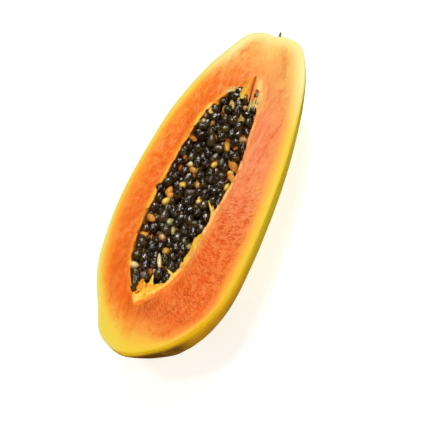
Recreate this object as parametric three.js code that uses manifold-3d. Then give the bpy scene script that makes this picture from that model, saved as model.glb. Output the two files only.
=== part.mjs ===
// Papaya cut in half along its length, lying on its back with the cut face up.
// Millimetres. +X points to the stem end, +Y to the side with the thinner wall, +Z up.
// The origin is on the resting surface, under the middle of the fruit.

import * as THREE from "three";
import { mergeVertices } from "three/addons/utils/BufferGeometryUtils.js";
import Module from "manifold-3d";

const wasm = await Module();
wasm.setup();

// ---- driving dimensions -------------------------------------------------
const CUT_HEIGHT = 56.4; // height of the cut face over the resting surface
// depth of the rounded back over the half width, along the length
const DEPTH_RATIO = [
  [-137, 0.85], [-115, 1.03], [-90, 1.07], [-60, 1.075], [-20, 1.075], [0, 1.085],
  [20, 1.095], [50, 1.05], [80, 0.98], [105, 0.93], [133, 0.9],
];
const TIP_SHIFT = 1.2; // how far the back reaches out past the blossom tip
const TIP_REACH = 0.15; // share of the length over which it does so
// how far the back bellies out to -Y near the blossom end, along the length
const SWELL = [
  [-137, 0], [-131, 1.4], [-122, 3.4], [-113, 6], [-104, 5.8], [-92, 4], [-80, 2.4], [-62, 1], [-40, 0], [133, 0],
];
const BODY_STATIONS = 28; // rings from tip to tip
const BODY_STEPS = 14; // steps around each half ring
const CAVITY_DEPTH = 20; // deepest point of the seed cavity under the cut face
const CAVITY_STATIONS = 28;
const CAVITY_STEPS = 14;
const CAVITY_CLEAR = 0.5; // extra room around the seeds
const SEED_SIDES = 5;
const THREAD_RADIUS = 0.5; // threads that hold a group of seeds together
const STALK_LENGTH = 3.6;
const STALK_RADIUS = 1.3;

// Edge of the cut face, from the blossom tip to the stem, [x, y].
const FACE_LEFT = [
  [-136.8, 2.9], [-136.7, 4.7], [-136.4, 6.8], [-135.7, 9.4], [-134.3, 12.7], [-131.8, 16.7], [-128.3, 21.9], [-122.3, 26.4],
  [-114.3, 30.4], [-104.8, 34.9], [-94, 40.4], [-81.3, 45.4], [-67, 49.2], [-51.3, 51.6], [-34.6, 53.3], [-17.3, 53.7],
  [0.4, 53], [18, 51.9], [35.3, 50.3], [51.8, 48], [67.4, 44.9], [81.7, 41], [94.4, 36.5], [105.3, 31.5],
  [114.6, 26.6], [122.4, 22.3], [128.4, 17.9], [131.5, 12.8], [132.5, 8.3], [132.8, 4.7], [132.9, 2], [132.8, -0.1],
  [132.8, -1.9],
];
const FACE_RIGHT = [
  [-136.8, 2.9], [-136.8, 1.1], [-136.5, -1], [-136, -3.8], [-134.8, -7.2], [-132.8, -11.6], [-129.6, -16.8], [-125.1, -22.9],
  [-118.7, -29.5], [-110.4, -36.2], [-99.8, -42.5], [-86.9, -47.6], [-72.2, -51.2], [-56.1, -53.2], [-39, -53.8], [-21.2, -53.5],
  [-3.1, -52.8], [14.9, -51.6], [32.6, -50], [49.6, -47.9], [65.7, -45.5], [80.6, -42.8], [94.1, -39.6], [105.8, -36],
  [115.8, -31.9], [123.9, -27.6], [129.6, -22.6], [132, -17.1], [132.6, -12.3], [132.7, -8.7], [132.7, -5.9], [132.8, -3.7],
  [132.8, -1.9],
];

// Edge of the cavity on the cut face, from its blossom point to its stem point.
const CAVITY_LEFT = [
  [-97.3, 9.1], [-95.1, 11.6], [-92.1, 13.7], [-88.9, 15.9], [-85.2, 18.3], [-81, 20.8], [-76, 23.3], [-70.2, 25.6],
  [-63.5, 27.6], [-56, 29.3], [-47.7, 30.5], [-38.7, 31.2], [-29.2, 31.6], [-19.2, 31.7], [-9, 31.5], [1.4, 31],
  [11.8, 30.3], [22.1, 29.3], [32, 28.2], [41.4, 26.9], [50.3, 25.4], [58.5, 23.5], [65.8, 21], [72.1, 18.1],
  [77.3, 14.7], [81.6, 11.2], [85.3, 7.9], [89.1, 5.9], [92.8, 4.6], [95.2, 1.9], [96, -1.5],
];
const CAVITY_RIGHT = [
  [-97.3, 9.1], [-95.8, 6], [-93.3, 3.4], [-90.4, 0.7], [-87, -2], [-83, -4.7], [-78.2, -7.3], [-72.5, -9.8],
  [-65.9, -12], [-58.5, -13.8], [-50.3, -15.1], [-41.5, -16], [-32, -16.6], [-22.2, -17.2], [-12, -18], [-1.7, -19.1],
  [8.5, -19.9], [18.7, -20.3], [28.6, -19.8], [38, -18.8], [46.9, -17.7], [55.1, -16.7], [62.7, -16.1], [69.6, -15.4],
  [75.7, -14.5], [81, -13.2], [85.6, -11.6], [89.6, -9.8], [92.8, -7.6], [95.1, -4.9], [96, -1.5],
];

// Seeds: x, y, height over the cut face, half length, half width, heading and
// tilt of the long axis in degrees, and 1 for a seed of the hidden lower layer.
// Threads join pairs of seeds of the same group.
const SEED_GROUPS = [
  {
    seeds: [
      [83.9, 5.7, -3.8, 3.46, 2.54, -9, -18],
      [77.9, 8.9, -3.6, 4.43, 2.72, -90, 9],
      [72.1, 13.5, -4.7, 3.46, 3.09, -20, -9],
      [77, -1.7, -3.1, 3.46, 2.54, 24, 18],
      [72.7, 2, -4.8, 4.33, 2.72, 49, 17],
      [65.9, 1.3, -3.2, 3.46, 2.91, 1, 19],
      [66.6, 7.8, -3.5, 3.46, 3.09, -49, -11],
      [71.6, -9.3, -3.3, 3.46, 2.54, -67, -22],
      [65.8, -6.5, -4, 3.78, 2.72, -73, -5],
      [62.9, -2.4, -11.5, 3.72, 2.82, 23, -1, 1],
      [66.7, 9.9, -9.6, 3.6, 2.95, 73, -2, 1],
      [69.3, -5.8, -9.1, 3.36, 2.82, 144, 8, 1],
      [69, 0.8, -10.5, 3.77, 2.71, 89, 22, 1],
      [72.6, 8.5, -9, 3.74, 2.8, 92, 13, 1],
      [74.9, -2.4, -9.1, 3.56, 2.78, 47, -19, 1],
      [77.9, 4.4, -8.3, 3.32, 2.74, 167, 0, 1],
    ],
    threads: [[0, 1], [1, 15], [13, 15], [10, 13], [6, 10], [5, 6], [4, 15], [3, 4], [3, 14], [11, 14], [8, 11], [7, 8], [11, 12], [9, 12], [2, 13]],
  },
  {
    seeds: [
      [65.2, 14.3, -4.4, 3.46, 3.09, -31, -19],
      [59.8, 16.1, -8.4, 4.87, 2.17, 26, 9],
      [58.3, 13.8, -3.4, 3.46, 3.09, -67, 18],
      [58.2, 7.5, -4.1, 3.46, 2.72, 1, 21],
      [58.8, 1.1, -3.6, 3.6, 3.27, -20, 10],
      [51.7, 10, -3.6, 3.46, 2.91, 1, -6],
      [51.5, 3.7, -3.5, 3.46, 2.91, -4, -18],
      [50.4, 3, -9.9, 3.76, 2.78, 106, -14, 1],
      [50.9, 9.6, -13, 3.59, 2.95, 73, -18, 1],
      [56.6, 0.1, -10.4, 3.7, 2.77, 23, -21, 1],
      [56.6, 6.1, -12.7, 3.58, 2.83, 153, 9, 1],
      [60.3, 11.1, -11.2, 3.67, 2.7, 16, -11, 1],
      [63.3, 3.8, -10.5, 3.53, 2.75, 22, 2, 1],
    ],
    threads: [[6, 7], [5, 6], [7, 9], [9, 10], [10, 11], [1, 11], [1, 2], [2, 3], [3, 4], [8, 10], [0, 1], [10, 12]],
  },
  {
    seeds: [
      [60, -10.1, -3.6, 3.46, 3.09, -9, 20],
      [51.2, -12.8, -4.5, 4.51, 2.54, 35, 12],
      [55.1, -4.9, -3.7, 3.6, 3.38, -37, 16],
      [48.7, -7.3, -3, 3.46, 2.72, -20, -16],
      [50.6, -9.8, -9.6, 3.58, 2.7, 158, 20, 1],
      [50.8, -3.8, -11.8, 3.47, 2.85, 79, -7, 1],
      [56.5, -6.7, -10.8, 3.76, 2.76, 87, -2, 1],
      [62.9, -8.1, -9.2, 3.72, 2.77, 174, 12, 1],
    ],
    threads: [[1, 4], [1, 3], [4, 5], [5, 6], [6, 7], [0, 7], [2, 3]],
  },
  {
    seeds: [
      [52.2, 16.8, -4.7, 3.53, 2.8, 1, 15],
      [48, 21.1, -2.7, 3.46, 2.36, -90, 3],
      [44.4, 21.5, -7.3, 3.6, 3.09, -84, -10],
      [40.7, 17.1, -3.6, 3.6, 3.27, -55, 22],
      [38.7, 24.4, -4.8, 3.46, 2.36, 1, -18],
      [38.4, 18.3, -11.4, 3.58, 2.87, 58, 10, 1],
      [44.3, 16.5, -11.7, 3.32, 2.82, 52, -20, 1],
      [52.3, 15.9, -10.8, 3.52, 2.92, 127, 7, 1],
    ],
    threads: [[5, 6], [2, 6], [1, 2], [0, 1], [0, 7], [2, 4], [2, 3]],
  },
  {
    seeds: [
      [44.1, 3.5, -3.4, 3.6, 3.09, -90, -5],
      [45.5, 12.9, -2.8, 3.46, 2.47, 28, 1],
      [38.9, 9.7, -3.6, 3.96, 2.91, 1, 18],
      [47.4, 12.9, -8.1, 3.26, 2.67, 23, -6],
      [45.7, 7, -8.4, 3.26, 2.67, 28, 2],
      [39.7, 4.8, -10.3, 3.71, 2.7, 142, 2, 1],
      [38.9, 11.5, -11.4, 3.38, 2.76, 129, 22, 1],
      [44.3, 7, -14.2, 3.66, 2.88, 92, -15, 1],
    ],
    threads: [[1, 3], [3, 4], [4, 7], [0, 4], [5, 7], [5, 6], [1, 2]],
  },
  {
    seeds: [
      [48.5, -1.7, -5.4, 3.78, 3.02, -9, 10],
      [41.1, -6.9, -3.6, 3.46, 3.02, -43, 22],
      [38.3, -14.3, -3.2, 3.6, 2.91, -9, 20],
      [34.5, 2, -3.6, 3.78, 3.27, -67, -6],
      [33.7, 1.7, -10.1, 3.66, 2.81, 21, -13, 1],
      [39.3, -9.8, -11.2, 3.66, 2.71, 83, -4, 1],
      [38.5, -3, -10, 3.57, 2.95, 157, 19, 1],
      [44.9, -6.5, -11.5, 3.29, 2.74, 168, -16, 1],
      [44.7, -0, -10.7, 3.69, 2.84, 65, 2, 1],
    ],
    threads: [[4, 6], [3, 4], [6, 8], [7, 8], [5, 7], [0, 8], [1, 6], [1, 2]],
  },
  {
    seeds: [
      [31.4, 24.7, -5.6, 3.96, 3.13, -9, 18],
      [32, 17, -3.8, 3.78, 3.27, 1, -14],
      [29, 8.2, -3.7, 3.78, 2.91, 41, 17],
      [26.6, 10.5, -11.2, 3.28, 2.79, 103, 20, 1],
      [26.1, 17.6, -10.7, 3.34, 2.94, 173, 16, 1],
      [32.3, 7.4, -11.8, 3.54, 2.77, 27, -17, 1],
      [32.9, 13.8, -9.9, 3.65, 2.94, 99, -17, 1],
      [32.3, 20.6, -10.6, 3.58, 2.98, 11, -7, 1],
    ],
    threads: [[0, 7], [6, 7], [5, 6], [3, 5], [4, 7], [1, 6], [2, 3]],
  },
  {
    seeds: [
      [31.5, -11.7, -4.3, 3.78, 3.34, 1, -8],
      [29.9, -5.8, -2.9, 3.46, 2.54, 28, -16],
      [26.4, 2.1, -3.5, 3.46, 2.72, -20, 4],
      [24.7, -3.6, -6.4, 3.78, 3.45, 1, 8],
      [21.4, -8.4, -3, 3.46, 2.72, -9, -2],
      [20.5, -6.2, -11.2, 3.51, 2.82, 157, -13, 1],
      [21, 0.5, -11.3, 3.74, 2.77, 51, -8, 1],
      [26.4, -9.7, -10.9, 3.55, 2.74, 9, -12, 1],
      [26.4, -2.1, -12.8, 3.43, 2.86, 66, 19, 1],
      [26.8, 4, -9.7, 3.75, 2.78, 148, -16, 1],
      [33.3, -11.3, -10.8, 3.43, 2.91, 117, 6, 1],
      [31.6, -4.7, -11.4, 3.73, 2.7, 52, -3, 1],
    ],
    threads: [[0, 1], [1, 3], [2, 3], [2, 9], [0, 10], [3, 4], [3, 8], [8, 11], [6, 8], [5, 6], [5, 7]],
  },
  {
    seeds: [
      [24.1, 18.1, -4.1, 4.33, 2.91, -4, -22],
      [21.6, 24.9, -7.7, 3.46, 2.54, 1, -20],
      [17.1, 22.2, -4.2, 3.46, 2.72, -67, 0],
      [11.6, 27.3, -5.6, 3.6, 2.54, 1, 10],
      [11.6, 18.5, -3.5, 3.46, 2.72, 1, -18],
      [24.9, 23.9, -2.9, 3.46, 2.61, -20, 3],
      [16.9, 16.4, -8.7, 3.26, 2.67, 23, 5],
      [14.4, 18.8, -13.7, 3.64, 2.81, 179, -3, 1],
      [14.5, 23.5, -9.4, 3.67, 2.73, 75, -6, 1],
      [21.2, 13.9, -12.6, 3.3, 2.98, 171, 21, 1],
      [20.4, 20.8, -11.7, 3.32, 2.83, 109, -7, 1],
    ],
    threads: [[0, 5], [1, 5], [1, 10], [1, 2], [2, 8], [3, 8], [6, 10], [6, 7], [6, 9], [2, 4]],
  },
  {
    seeds: [
      [20.6, 12.4, -3.8, 3.96, 2.91, 1, 10],
      [19.8, 5.7, -3.9, 3.46, 2.91, -49, -20],
      [15.2, 0.9, -4.7, 3.46, 2.76, 1, 0],
      [10.5, 5.9, -4.2, 3.6, 3.02, -31, -20],
      [9.2, 0.7, -11.4, 3.29, 2.73, 173, -18, 1],
      [9.1, 7.7, -10.7, 3.32, 2.82, 38, -5, 1],
      [14.5, 4.3, -10.9, 3.34, 2.85, 92, 0, 1],
      [14.5, 11.2, -11.2, 3.65, 2.76, 138, 13, 1],
      [20.6, 7.5, -11.1, 3.48, 2.96, 125, -9, 1],
    ],
    threads: [[4, 6], [5, 6], [5, 7], [3, 5], [2, 3], [1, 2], [0, 1], [6, 8]],
  },
  {
    seeds: [
      [14.4, -8.6, -4.1, 3.6, 3.09, 1, -18],
      [9.6, -2.8, -3.3, 3.46, 3.02, 1, -12],
      [7.2, -9.6, -4.1, 4.15, 3.45, -79, 17],
      [9.2, -13.4, -10.2, 3.33, 2.72, 121, -12, 1],
      [9, -6, -10.4, 3.29, 2.77, 178, 0, 1],
      [14.7, -9.7, -10.5, 3.55, 2.87, 25, 11, 1],
      [14.8, -2.8, -11.1, 3.71, 2.8, 77, 16, 1],
      [20.7, -13, -10.3, 3.64, 2.83, 115, 0, 1],
    ],
    threads: [[3, 5], [0, 5], [4, 5], [4, 6], [5, 7], [0, 2], [1, 2]],
  },
  {
    seeds: [
      [5.8, 21.9, -4.5, 3.46, 3.09, -31, 7],
      [6.9, 14.3, -4.8, 3.96, 2.91, -20, 5],
      [-0.6, 24.4, -4.1, 3.46, 2.91, -55, -4],
      [4.4, 27.9, -5.7, 3.46, 2.47, -9, 7],
      [3.1, 17.5, -12.1, 3.43, 2.95, 129, 8, 1],
      [2.2, 24.2, -10.4, 3.53, 2.94, 71, 21, 1],
      [8.8, 15, -10.5, 3.44, 2.71, 107, 20, 1],
      [8.4, 21.7, -11.4, 3.68, 2.85, 146, -18, 1],
    ],
    threads: [[4, 6], [1, 6], [6, 7], [5, 7], [3, 5], [2, 3], [0, 3]],
  },
  {
    seeds: [
      [-0, -14.3, -3.8, 3.46, 2.17, -9, -20],
      [-3.6, -3.2, -3.6, 3.71, 3.27, 1, 19],
      [-5.3, -10, -5, 3.78, 3.45, -9, -14],
      [3.2, -3.7, -5.8, 3.46, 2.72, 1, -8],
      [0.7, -8.7, -2.9, 3.46, 2.54, -67, 7],
      [-2.8, -11.3, -11.3, 3.37, 2.97, 145, 8, 1],
      [-3.7, -4.7, -10.5, 3.71, 2.94, 36, 1, 1],
      [3.7, -9.9, -10.7, 3.37, 2.85, 24, -6, 1],
      [3.1, -3.4, -11.7, 3.49, 2.74, 76, -3, 1],
    ],
    threads: [[3, 8], [3, 4], [0, 4], [2, 4], [7, 8], [5, 7], [5, 6], [1, 6]],
  },
  {
    seeds: [
      [2.3, 10, -3, 3.46, 2.72, -9, -17],
      [5.1, 1.6, -3.1, 3.46, 2.76, 28, 1],
      [-4.9, 8.2, -4.4, 3.78, 3.09, -67, 2],
      [-0.8, 2.4, -5.8, 3.46, 2.72, -43, -19],
      [-8, 6.3, -13.3, 3.55, 2.79, 145, 11, 1],
      [-2.8, 2.1, -11.3, 3.54, 2.74, 112, -7, 1],
      [-2.4, 9.1, -11.9, 3.43, 2.72, 94, -8, 1],
      [3.1, 3.4, -12.5, 3.42, 2.8, 120, 15, 1],
      [3.4, 10.5, -11.5, 3.73, 2.75, 83, 8, 1],
    ],
    threads: [[6, 8], [4, 6], [5, 6], [3, 5], [5, 7], [1, 3], [2, 3], [0, 2]],
  },
  {
    seeds: [
      [-7.3, 15.1, -3, 4.15, 2.72, -26, 10],
      [-11.6, 6.8, -3.8, 3.78, 3.27, -31, 19],
      [-13.8, 26.7, -5.1, 3.46, 2.72, 20, 12],
      [-12.4, 19.1, -7, 3.46, 2.91, 1, -8],
      [-2.8, 13.7, -7.9, 3.46, 2.72, 1, -10],
      [-14.8, 14.6, -10.8, 3.53, 2.82, 173, 6, 1],
      [-14.8, 21.8, -12.3, 3.42, 2.92, 155, -14, 1],
      [-9, 11.8, -9.6, 3.31, 2.76, 63, 9, 1],
      [-9.1, 18.1, -12.5, 3.33, 2.88, 112, 15, 1],
      [-8.8, 24.8, -10.4, 3.77, 2.95, 173, -9, 1],
      [-3.1, 15.4, -13.9, 3.68, 2.96, 23, -15, 1],
      [-3.6, 20.6, -10.4, 3.29, 2.76, 26, 0, 1],
    ],
    threads: [[2, 9], [9, 11], [10, 11], [4, 10], [8, 11], [3, 8], [3, 5], [3, 6], [5, 7], [0, 4], [1, 7]],
  },
  {
    seeds: [
      [-20, -10.7, -3.9, 4.15, 3.38, 20, -7],
      [-18.1, -4, -3.7, 3.46, 2.91, 11, -19],
      [-9.5, 1.5, -8.9, 3.26, 2.67, 53, -12],
      [-8.4, -15.4, -3, 3.46, 2.47, 1, 10],
      [-11.3, -5.8, -3.9, 3.6, 2.91, -31, -2],
      [-15.8, -6.1, -11.2, 3.29, 2.84, 45, 14, 1],
      [-15.3, 1, -11.2, 3.53, 2.77, 69, 20, 1],
      [-9.5, -11, -10.5, 3.64, 2.78, 52, 14, 1],
      [-10, -4.2, -12.3, 3.74, 2.7, 108, 10, 1],
    ],
    threads: [[5, 8], [2, 8], [2, 6], [7, 8], [1, 5], [0, 1], [1, 4], [3, 7]],
  },
  {
    seeds: [
      [-17.2, 2.6, -4.8, 3.6, 3.13, -67, 10],
      [-23.9, 6.4, -7.2, 4.69, 3.64, -67, 9],
      [-22.4, 12.7, -3.1, 3.78, 2.54, 53, 1],
      [-17.5, 10.5, -6.4, 3.78, 3.2, 20, 9],
      [-29.9, 6.3, -3.8, 3.46, 2.72, -67, -13],
      [-33.3, 10.7, -11.9, 3.53, 2.68, 56, -2, 1],
      [-27.6, 8.3, -13.3, 3.57, 2.7, 178, -2, 1],
      [-28.2, 14.4, -9.9, 3.53, 2.81, 92, -14, 1],
      [-20.6, 3.3, -12.8, 3.69, 2.68, 38, -18, 1],
      [-20.7, 10, -12.4, 3.38, 2.82, 126, -2, 1],
      [-21.9, 15.9, -10.7, 3.55, 2.7, 176, -12, 1],
      [-14.5, 7.7, -11.7, 3.37, 2.95, 118, 15, 1],
    ],
    threads: [[5, 6], [5, 7], [7, 10], [9, 10], [9, 11], [8, 9], [3, 11], [2, 3], [1, 9], [1, 4], [0, 1]],
  },
  {
    seeds: [
      [-21.7, 25.2, -3.4, 3.78, 3.13, 11, -14],
      [-27.5, 18, -3.7, 4.33, 3.27, 1, -2],
      [-29.8, 28.3, -5.6, 4.15, 2.54, -9, 8],
      [-34.1, 17.4, -5.8, 3.46, 2.36, -67, 9],
      [-20.1, 19.1, -5.7, 3.46, 2.91, -20, 0],
      [-24.5, 25.9, -9.2, 3.26, 2.67, -38, 11],
      [-33.6, 17.5, -11.5, 3.38, 2.89, 80, 13, 1],
      [-33.4, 24.3, -9.6, 3.71, 2.95, 90, -12, 1],
      [-27.5, 20.9, -10.9, 3.75, 2.72, 171, -4, 1],
      [-21.1, 21.9, -12.8, 3.61, 2.7, 77, 13, 1],
    ],
    threads: [[0, 5], [5, 8], [5, 9], [0, 4], [2, 5], [2, 7], [6, 8], [3, 6], [1, 3]],
  },
  {
    seeds: [
      [-29.9, -12.3, -4.1, 3.46, 2.83, 53, 21],
      [-27.9, -6, -2.9, 3.46, 2.54, -67, -21],
      [-33.6, -0.1, -4.3, 3.78, 3.09, 28, 5],
      [-34, -6.7, -3.8, 3.46, 2.91, 20, 22],
      [-25.4, -0.6, -4.6, 3.46, 2.91, 1, 8],
      [-33.6, -9.3, -10.4, 3.51, 2.73, 142, -5, 1],
      [-33.3, -2.7, -10.5, 3.71, 2.97, 6, -21, 1],
      [-32.9, 4, -10.5, 3.71, 2.8, 44, 9, 1],
      [-27.5, -6.1, -10.6, 3.42, 2.96, 57, 7, 1],
      [-27, 0.9, -10.8, 3.33, 2.69, 91, 8, 1],
      [-22.1, -10.2, -10.4, 3.48, 2.93, 27, 11, 1],
      [-21.7, -3.4, -10.5, 3.64, 2.85, 112, -14, 1],
    ],
    threads: [[0, 1], [1, 4], [1, 3], [2, 3], [4, 9], [7, 9], [6, 7], [5, 6], [6, 8], [8, 11], [8, 10]],
  },
  {
    seeds: [
      [-45.4, 6.6, -4.4, 3.96, 2.72, 28, 0],
      [-40.4, 1.8, -4.1, 3.6, 2.91, 15, -11],
      [-41.7, -4.3, -3.6, 3.6, 2.8, 1, -15],
      [-48, 0.2, -4.2, 3.78, 2.61, 20, -9],
      [-37.4, 7.7, -8.3, 3.26, 2.67, -35, 7],
      [-45.3, -8.7, -9.6, 3.44, 2.69, 17, 5, 1],
      [-45.4, -2.4, -11.3, 3.29, 2.72, 39, 16, 1],
      [-45.2, 4.2, -10.6, 3.33, 2.73, 114, 21, 1],
      [-39.5, -6.2, -11.2, 3.59, 2.71, 98, -12, 1],
      [-39.4, 0.8, -10.3, 3.57, 2.97, 47, -6, 1],
      [-40.6, 7.1, -13.4, 3.6, 2.84, 147, 5, 1],
    ],
    threads: [[4, 10], [7, 10], [0, 7], [6, 7], [5, 6], [5, 8], [7, 9], [1, 9], [1, 2], [0, 3]],
  },
  {
    seeds: [
      [-37.3, 12.2, -3.3, 3.46, 3.02, 45, -5],
      [-38.8, 21.3, -3.2, 3.46, 2.91, -20, -1],
      [-38.9, 28.1, -5.6, 3.46, 2.65, 11, -4],
      [-47, 15.8, -3.3, 3.46, 2.54, 53, -6],
      [-49.8, 22.2, -3.2, 4.33, 2.91, 32, -10],
      [-50.5, 10.3, -2.9, 3.46, 2.54, -9, -3],
      [-54.1, 26.3, -5.4, 3.6, 2.72, 20, 15],
      [-53.3, 16.4, -4.1, 3.46, 2.54, -31, -6],
      [-57.5, 18.3, -10.3, 3.28, 2.69, 59, 14, 1],
      [-51.6, 15.1, -10.4, 3.28, 2.75, 128, 14, 1],
      [-51.4, 21.5, -10.4, 3.73, 2.87, 173, 22, 1],
      [-45.7, 11.2, -10.5, 3.45, 2.78, 163, 11, 1],
      [-45.5, 17.7, -11.3, 3.68, 2.88, 16, 6, 1],
      [-39.6, 14.2, -11, 3.73, 2.7, 3, 19, 1],
      [-39.8, 22.1, -10.5, 3.63, 2.92, 23, -9, 1],
    ],
    threads: [[12, 14], [11, 12], [9, 12], [9, 10], [7, 9], [3, 7], [3, 5], [8, 9], [4, 7], [4, 6], [11, 13], [1, 14], [1, 2], [0, 13]],
  },
  {
    seeds: [
      [-50.2, -5.6, -3, 3.78, 2.69, 1, 15],
      [-56.9, 11.6, -4.8, 3.46, 2.36, 20, 2],
      [-63.5, -2.9, -3.4, 4.51, 3.09, 15, -2],
      [-57.6, -7.1, -3.8, 3.6, 2.72, 11, 7],
      [-59.7, 3.4, -4.3, 3.78, 2.65, 20, 20],
      [-55.2, -0.6, -3.7, 3.46, 2.61, 28, -16],
      [-63.2, -3.2, -9.7, 3.45, 2.86, 46, 21, 1],
      [-62.6, 3, -11.8, 3.36, 2.89, 106, -6, 1],
      [-56.6, -2.7, -10.9, 3.58, 2.98, 52, 4, 1],
      [-56.3, 3.8, -10.7, 3.3, 2.84, 171, -3, 1],
      [-56.8, 11.6, -11.5, 3.63, 2.78, 108, -9, 1],
      [-51.6, -6.5, -10.1, 3.32, 2.74, 99, 11, 1],
      [-50.6, 0.4, -11.2, 3.32, 2.69, 60, -16, 1],
      [-51.1, 7.6, -11.1, 3.5, 2.74, 167, -9, 1],
    ],
    threads: [[2, 6], [6, 7], [7, 9], [9, 13], [8, 9], [8, 11], [9, 12], [10, 13], [1, 10], [2, 3], [3, 5], [4, 5], [0, 5]],
  },
  {
    seeds: [
      [-64.3, 10.7, -6.1, 4.15, 2.83, -9, 18],
      [-71.3, 3.3, -3.6, 3.46, 3.16, 1, 20],
      [-72.7, -3.2, -3.6, 3.46, 2.98, 1, 7],
      [-75.9, 0.9, -8.4, 3.56, 2.88, 136, -17, 1],
      [-75.7, 7.4, -9.5, 3.4, 2.75, 144, -6, 1],
      [-69.3, -2.3, -9, 3.44, 2.87, 67, -17, 1],
      [-70.1, 4.1, -10.5, 3.33, 2.89, 34, -8, 1],
      [-70.3, 10.6, -10.5, 3.43, 2.87, 136, -10, 1],
      [-63.2, 9.4, -11.8, 3.76, 2.74, 14, 13, 1],
    ],
    threads: [[2, 5], [5, 6], [6, 7], [4, 7], [3, 4], [1, 2], [7, 8], [0, 8]],
  },
  {
    seeds: [
      [-61.2, 17.5, -3.6, 4.51, 3.27, 1, -7],
      [-61.2, 24.4, -5, 3.78, 3.27, 1, 5],
      [-76.4, 18.9, -5, 4.33, 3.09, 24, 13],
      [-75.2, 12.2, -3.7, 3.78, 3.27, 1, 6],
      [-83.9, 15.3, -2.9, 5.05, 2.61, 12, 16],
      [-68.4, 14.7, -3, 3.46, 2.72, 1, 13],
      [-66.5, 20.8, -7.4, 3.26, 2.67, -14, 14],
      [-80.9, 11.9, -7.7, 3.43, 2.91, 50, 0, 1],
      [-71.3, 16.6, -8.7, 3.48, 2.85, 6, 9, 1],
      [-63.5, 15.6, -10.9, 3.38, 2.98, 46, -16, 1],
    ],
    threads: [[2, 8], [6, 8], [5, 8], [1, 6], [2, 3], [0, 1], [6, 9], [3, 7], [4, 7]],
  },
];

// Pale seeds that never ripened: colour, then the same seven numbers.
const UNDEVELOPED = [
  ["orange", -7, 22.7, -4.9, 3.6, 2.22, -4, 5],
  ["orange", -10.6, 20.3, -2.2, 2.4, 1.88, -43, 19],
  ["yellow", -15.9, 21.5, -2.6, 3.26, 2.05, -37, 17],
  ["yellow", -0.4, 15.3, -3.4, 2.95, 2.15, 24, -19],
  ["orange", 3.9, 5.9, -7.1, 3.08, 2.4, -90, 12],
  ["cream", 16.9, 16.7, -3.7, 2.05, 1.91, 1, -11],
  ["gold", 13, 12.4, -4, 3.26, 2.05, 53, 9],
  ["yellow", 20.9, -0.2, -3, 2.57, 1.77, -9, -5],
  ["gold", 37.4, -3, -3.6, 4.64, 1.7, 26, -8],
  ["tan", 45.5, -12.3, -2.4, 3.08, 2.12, -90, -1],
  ["olive", 42.6, -12.4, -5.4, 2.4, 1.57, -79, 1],
  ["gold", 24.6, -13, -5.1, 3.6, 2.19, 53, 9],
  ["yellow", 17.5, -13.7, -3.8, 2.4, 2.05, -67, 6],
  ["yellow", 6.5, -15.7, -3.9, 2.91, 1.84, 1, 8],
  ["yellow", -9.3, -0.9, -4.4, 2.4, 1.84, 1, -5],
  ["olive", -30.1, 12.3, -4.4, 2.6, 2.19, 1, 8],
  ["olive", -36.2, 7.5, -3.9, 3.6, 1.36, 21, -7],
  ["orange", -31.2, 23.5, -2.5, 3.6, 2.05, 57, 5],
  ["orange", -43.9, 23.7, -6, 3.08, 2.26, -67, -2],
  ["tan", -43, 13, -4.4, 3.26, 2.05, 53, 3],
  ["gold", -53.1, 5.3, -3.8, 2.95, 2.4, 20, -21],
  ["cream", -61.9, 6.7, -2.2, 5.5, 1.43, 23, 0],
  ["cream", -69.9, 20.3, -2.9, 2.74, 2.53, -67, -12],
  ["olive", -45.2, -8.6, -4.3, 2.57, 1.84, 1, -5],
  ["tan", 70.7, -3.6, -3.5, 2.05, 1.7, -67, -19],
  ["olive", 52.9, 22.2, -4.9, 2.57, 2.05, -31, 7],
];

const RIM_SEED = [-7.6, 28.9, -1.6, 3.22, 2.81, 1, 17];
const FLAT_SEED = [83.4, -7.8, -2.2, 3.08, 1.57, 11, -6];

// ---- helpers ------------------------------------------------------------
// Closed mesh with shared corners, ready for a boolean cut or join.
function solidOf(geometry) {
  const g = geometry.clone();
  for (const name of Object.keys(g.attributes)) if (name !== "position") g.deleteAttribute(name);
  const merged = mergeVertices(g, 1e-4);
  const index = merged.index.array;
  const keep = [];
  for (let i = 0; i < index.length; i += 3) {
    const a = index[i], b = index[i + 1], c = index[i + 2];
    if (a !== b && b !== c && c !== a) keep.push(a, b, c);
  }
  const mesh = new wasm.Mesh({
    numProp: 3,
    vertProperties: new Float32Array(merged.attributes.position.array),
    triVerts: new Uint32Array(keep),
  });
  return new wasm.Manifold(mesh);
}

function geometryOf(solid) {
  const mesh = solid.getMesh();
  const g = new THREE.BufferGeometry();
  g.setAttribute("position", new THREE.BufferAttribute(new Float32Array(mesh.vertProperties), 3));
  g.setIndex(new THREE.BufferAttribute(new Uint32Array(mesh.triVerts), 1));
  g.computeVertexNormals();
  return g;
}

// Smooth line through a table of points.
function lineThrough(table) {
  return new THREE.CatmullRomCurve3(table.map(([x, y]) => new THREE.Vector3(x, y, 0)), false, "centripetal");
}

// y on a table whose x grows steadily
function yAt(table, x) {
  for (let i = 1; i < table.length; i++) {
    const [x0, y0] = table[i - 1], [x1, y1] = table[i];
    if (x <= x1 || i === table.length - 1) return y0 + ((y1 - y0) * (x - x0)) / Math.max(x1 - x0, 1e-6);
  }
}

function triangles(points, faces) {
  const g = new THREE.BufferGeometry();
  g.setAttribute("position", new THREE.BufferAttribute(new Float32Array(points.flat()), 3));
  g.setIndex(faces.flat());
  return g;
}

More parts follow.
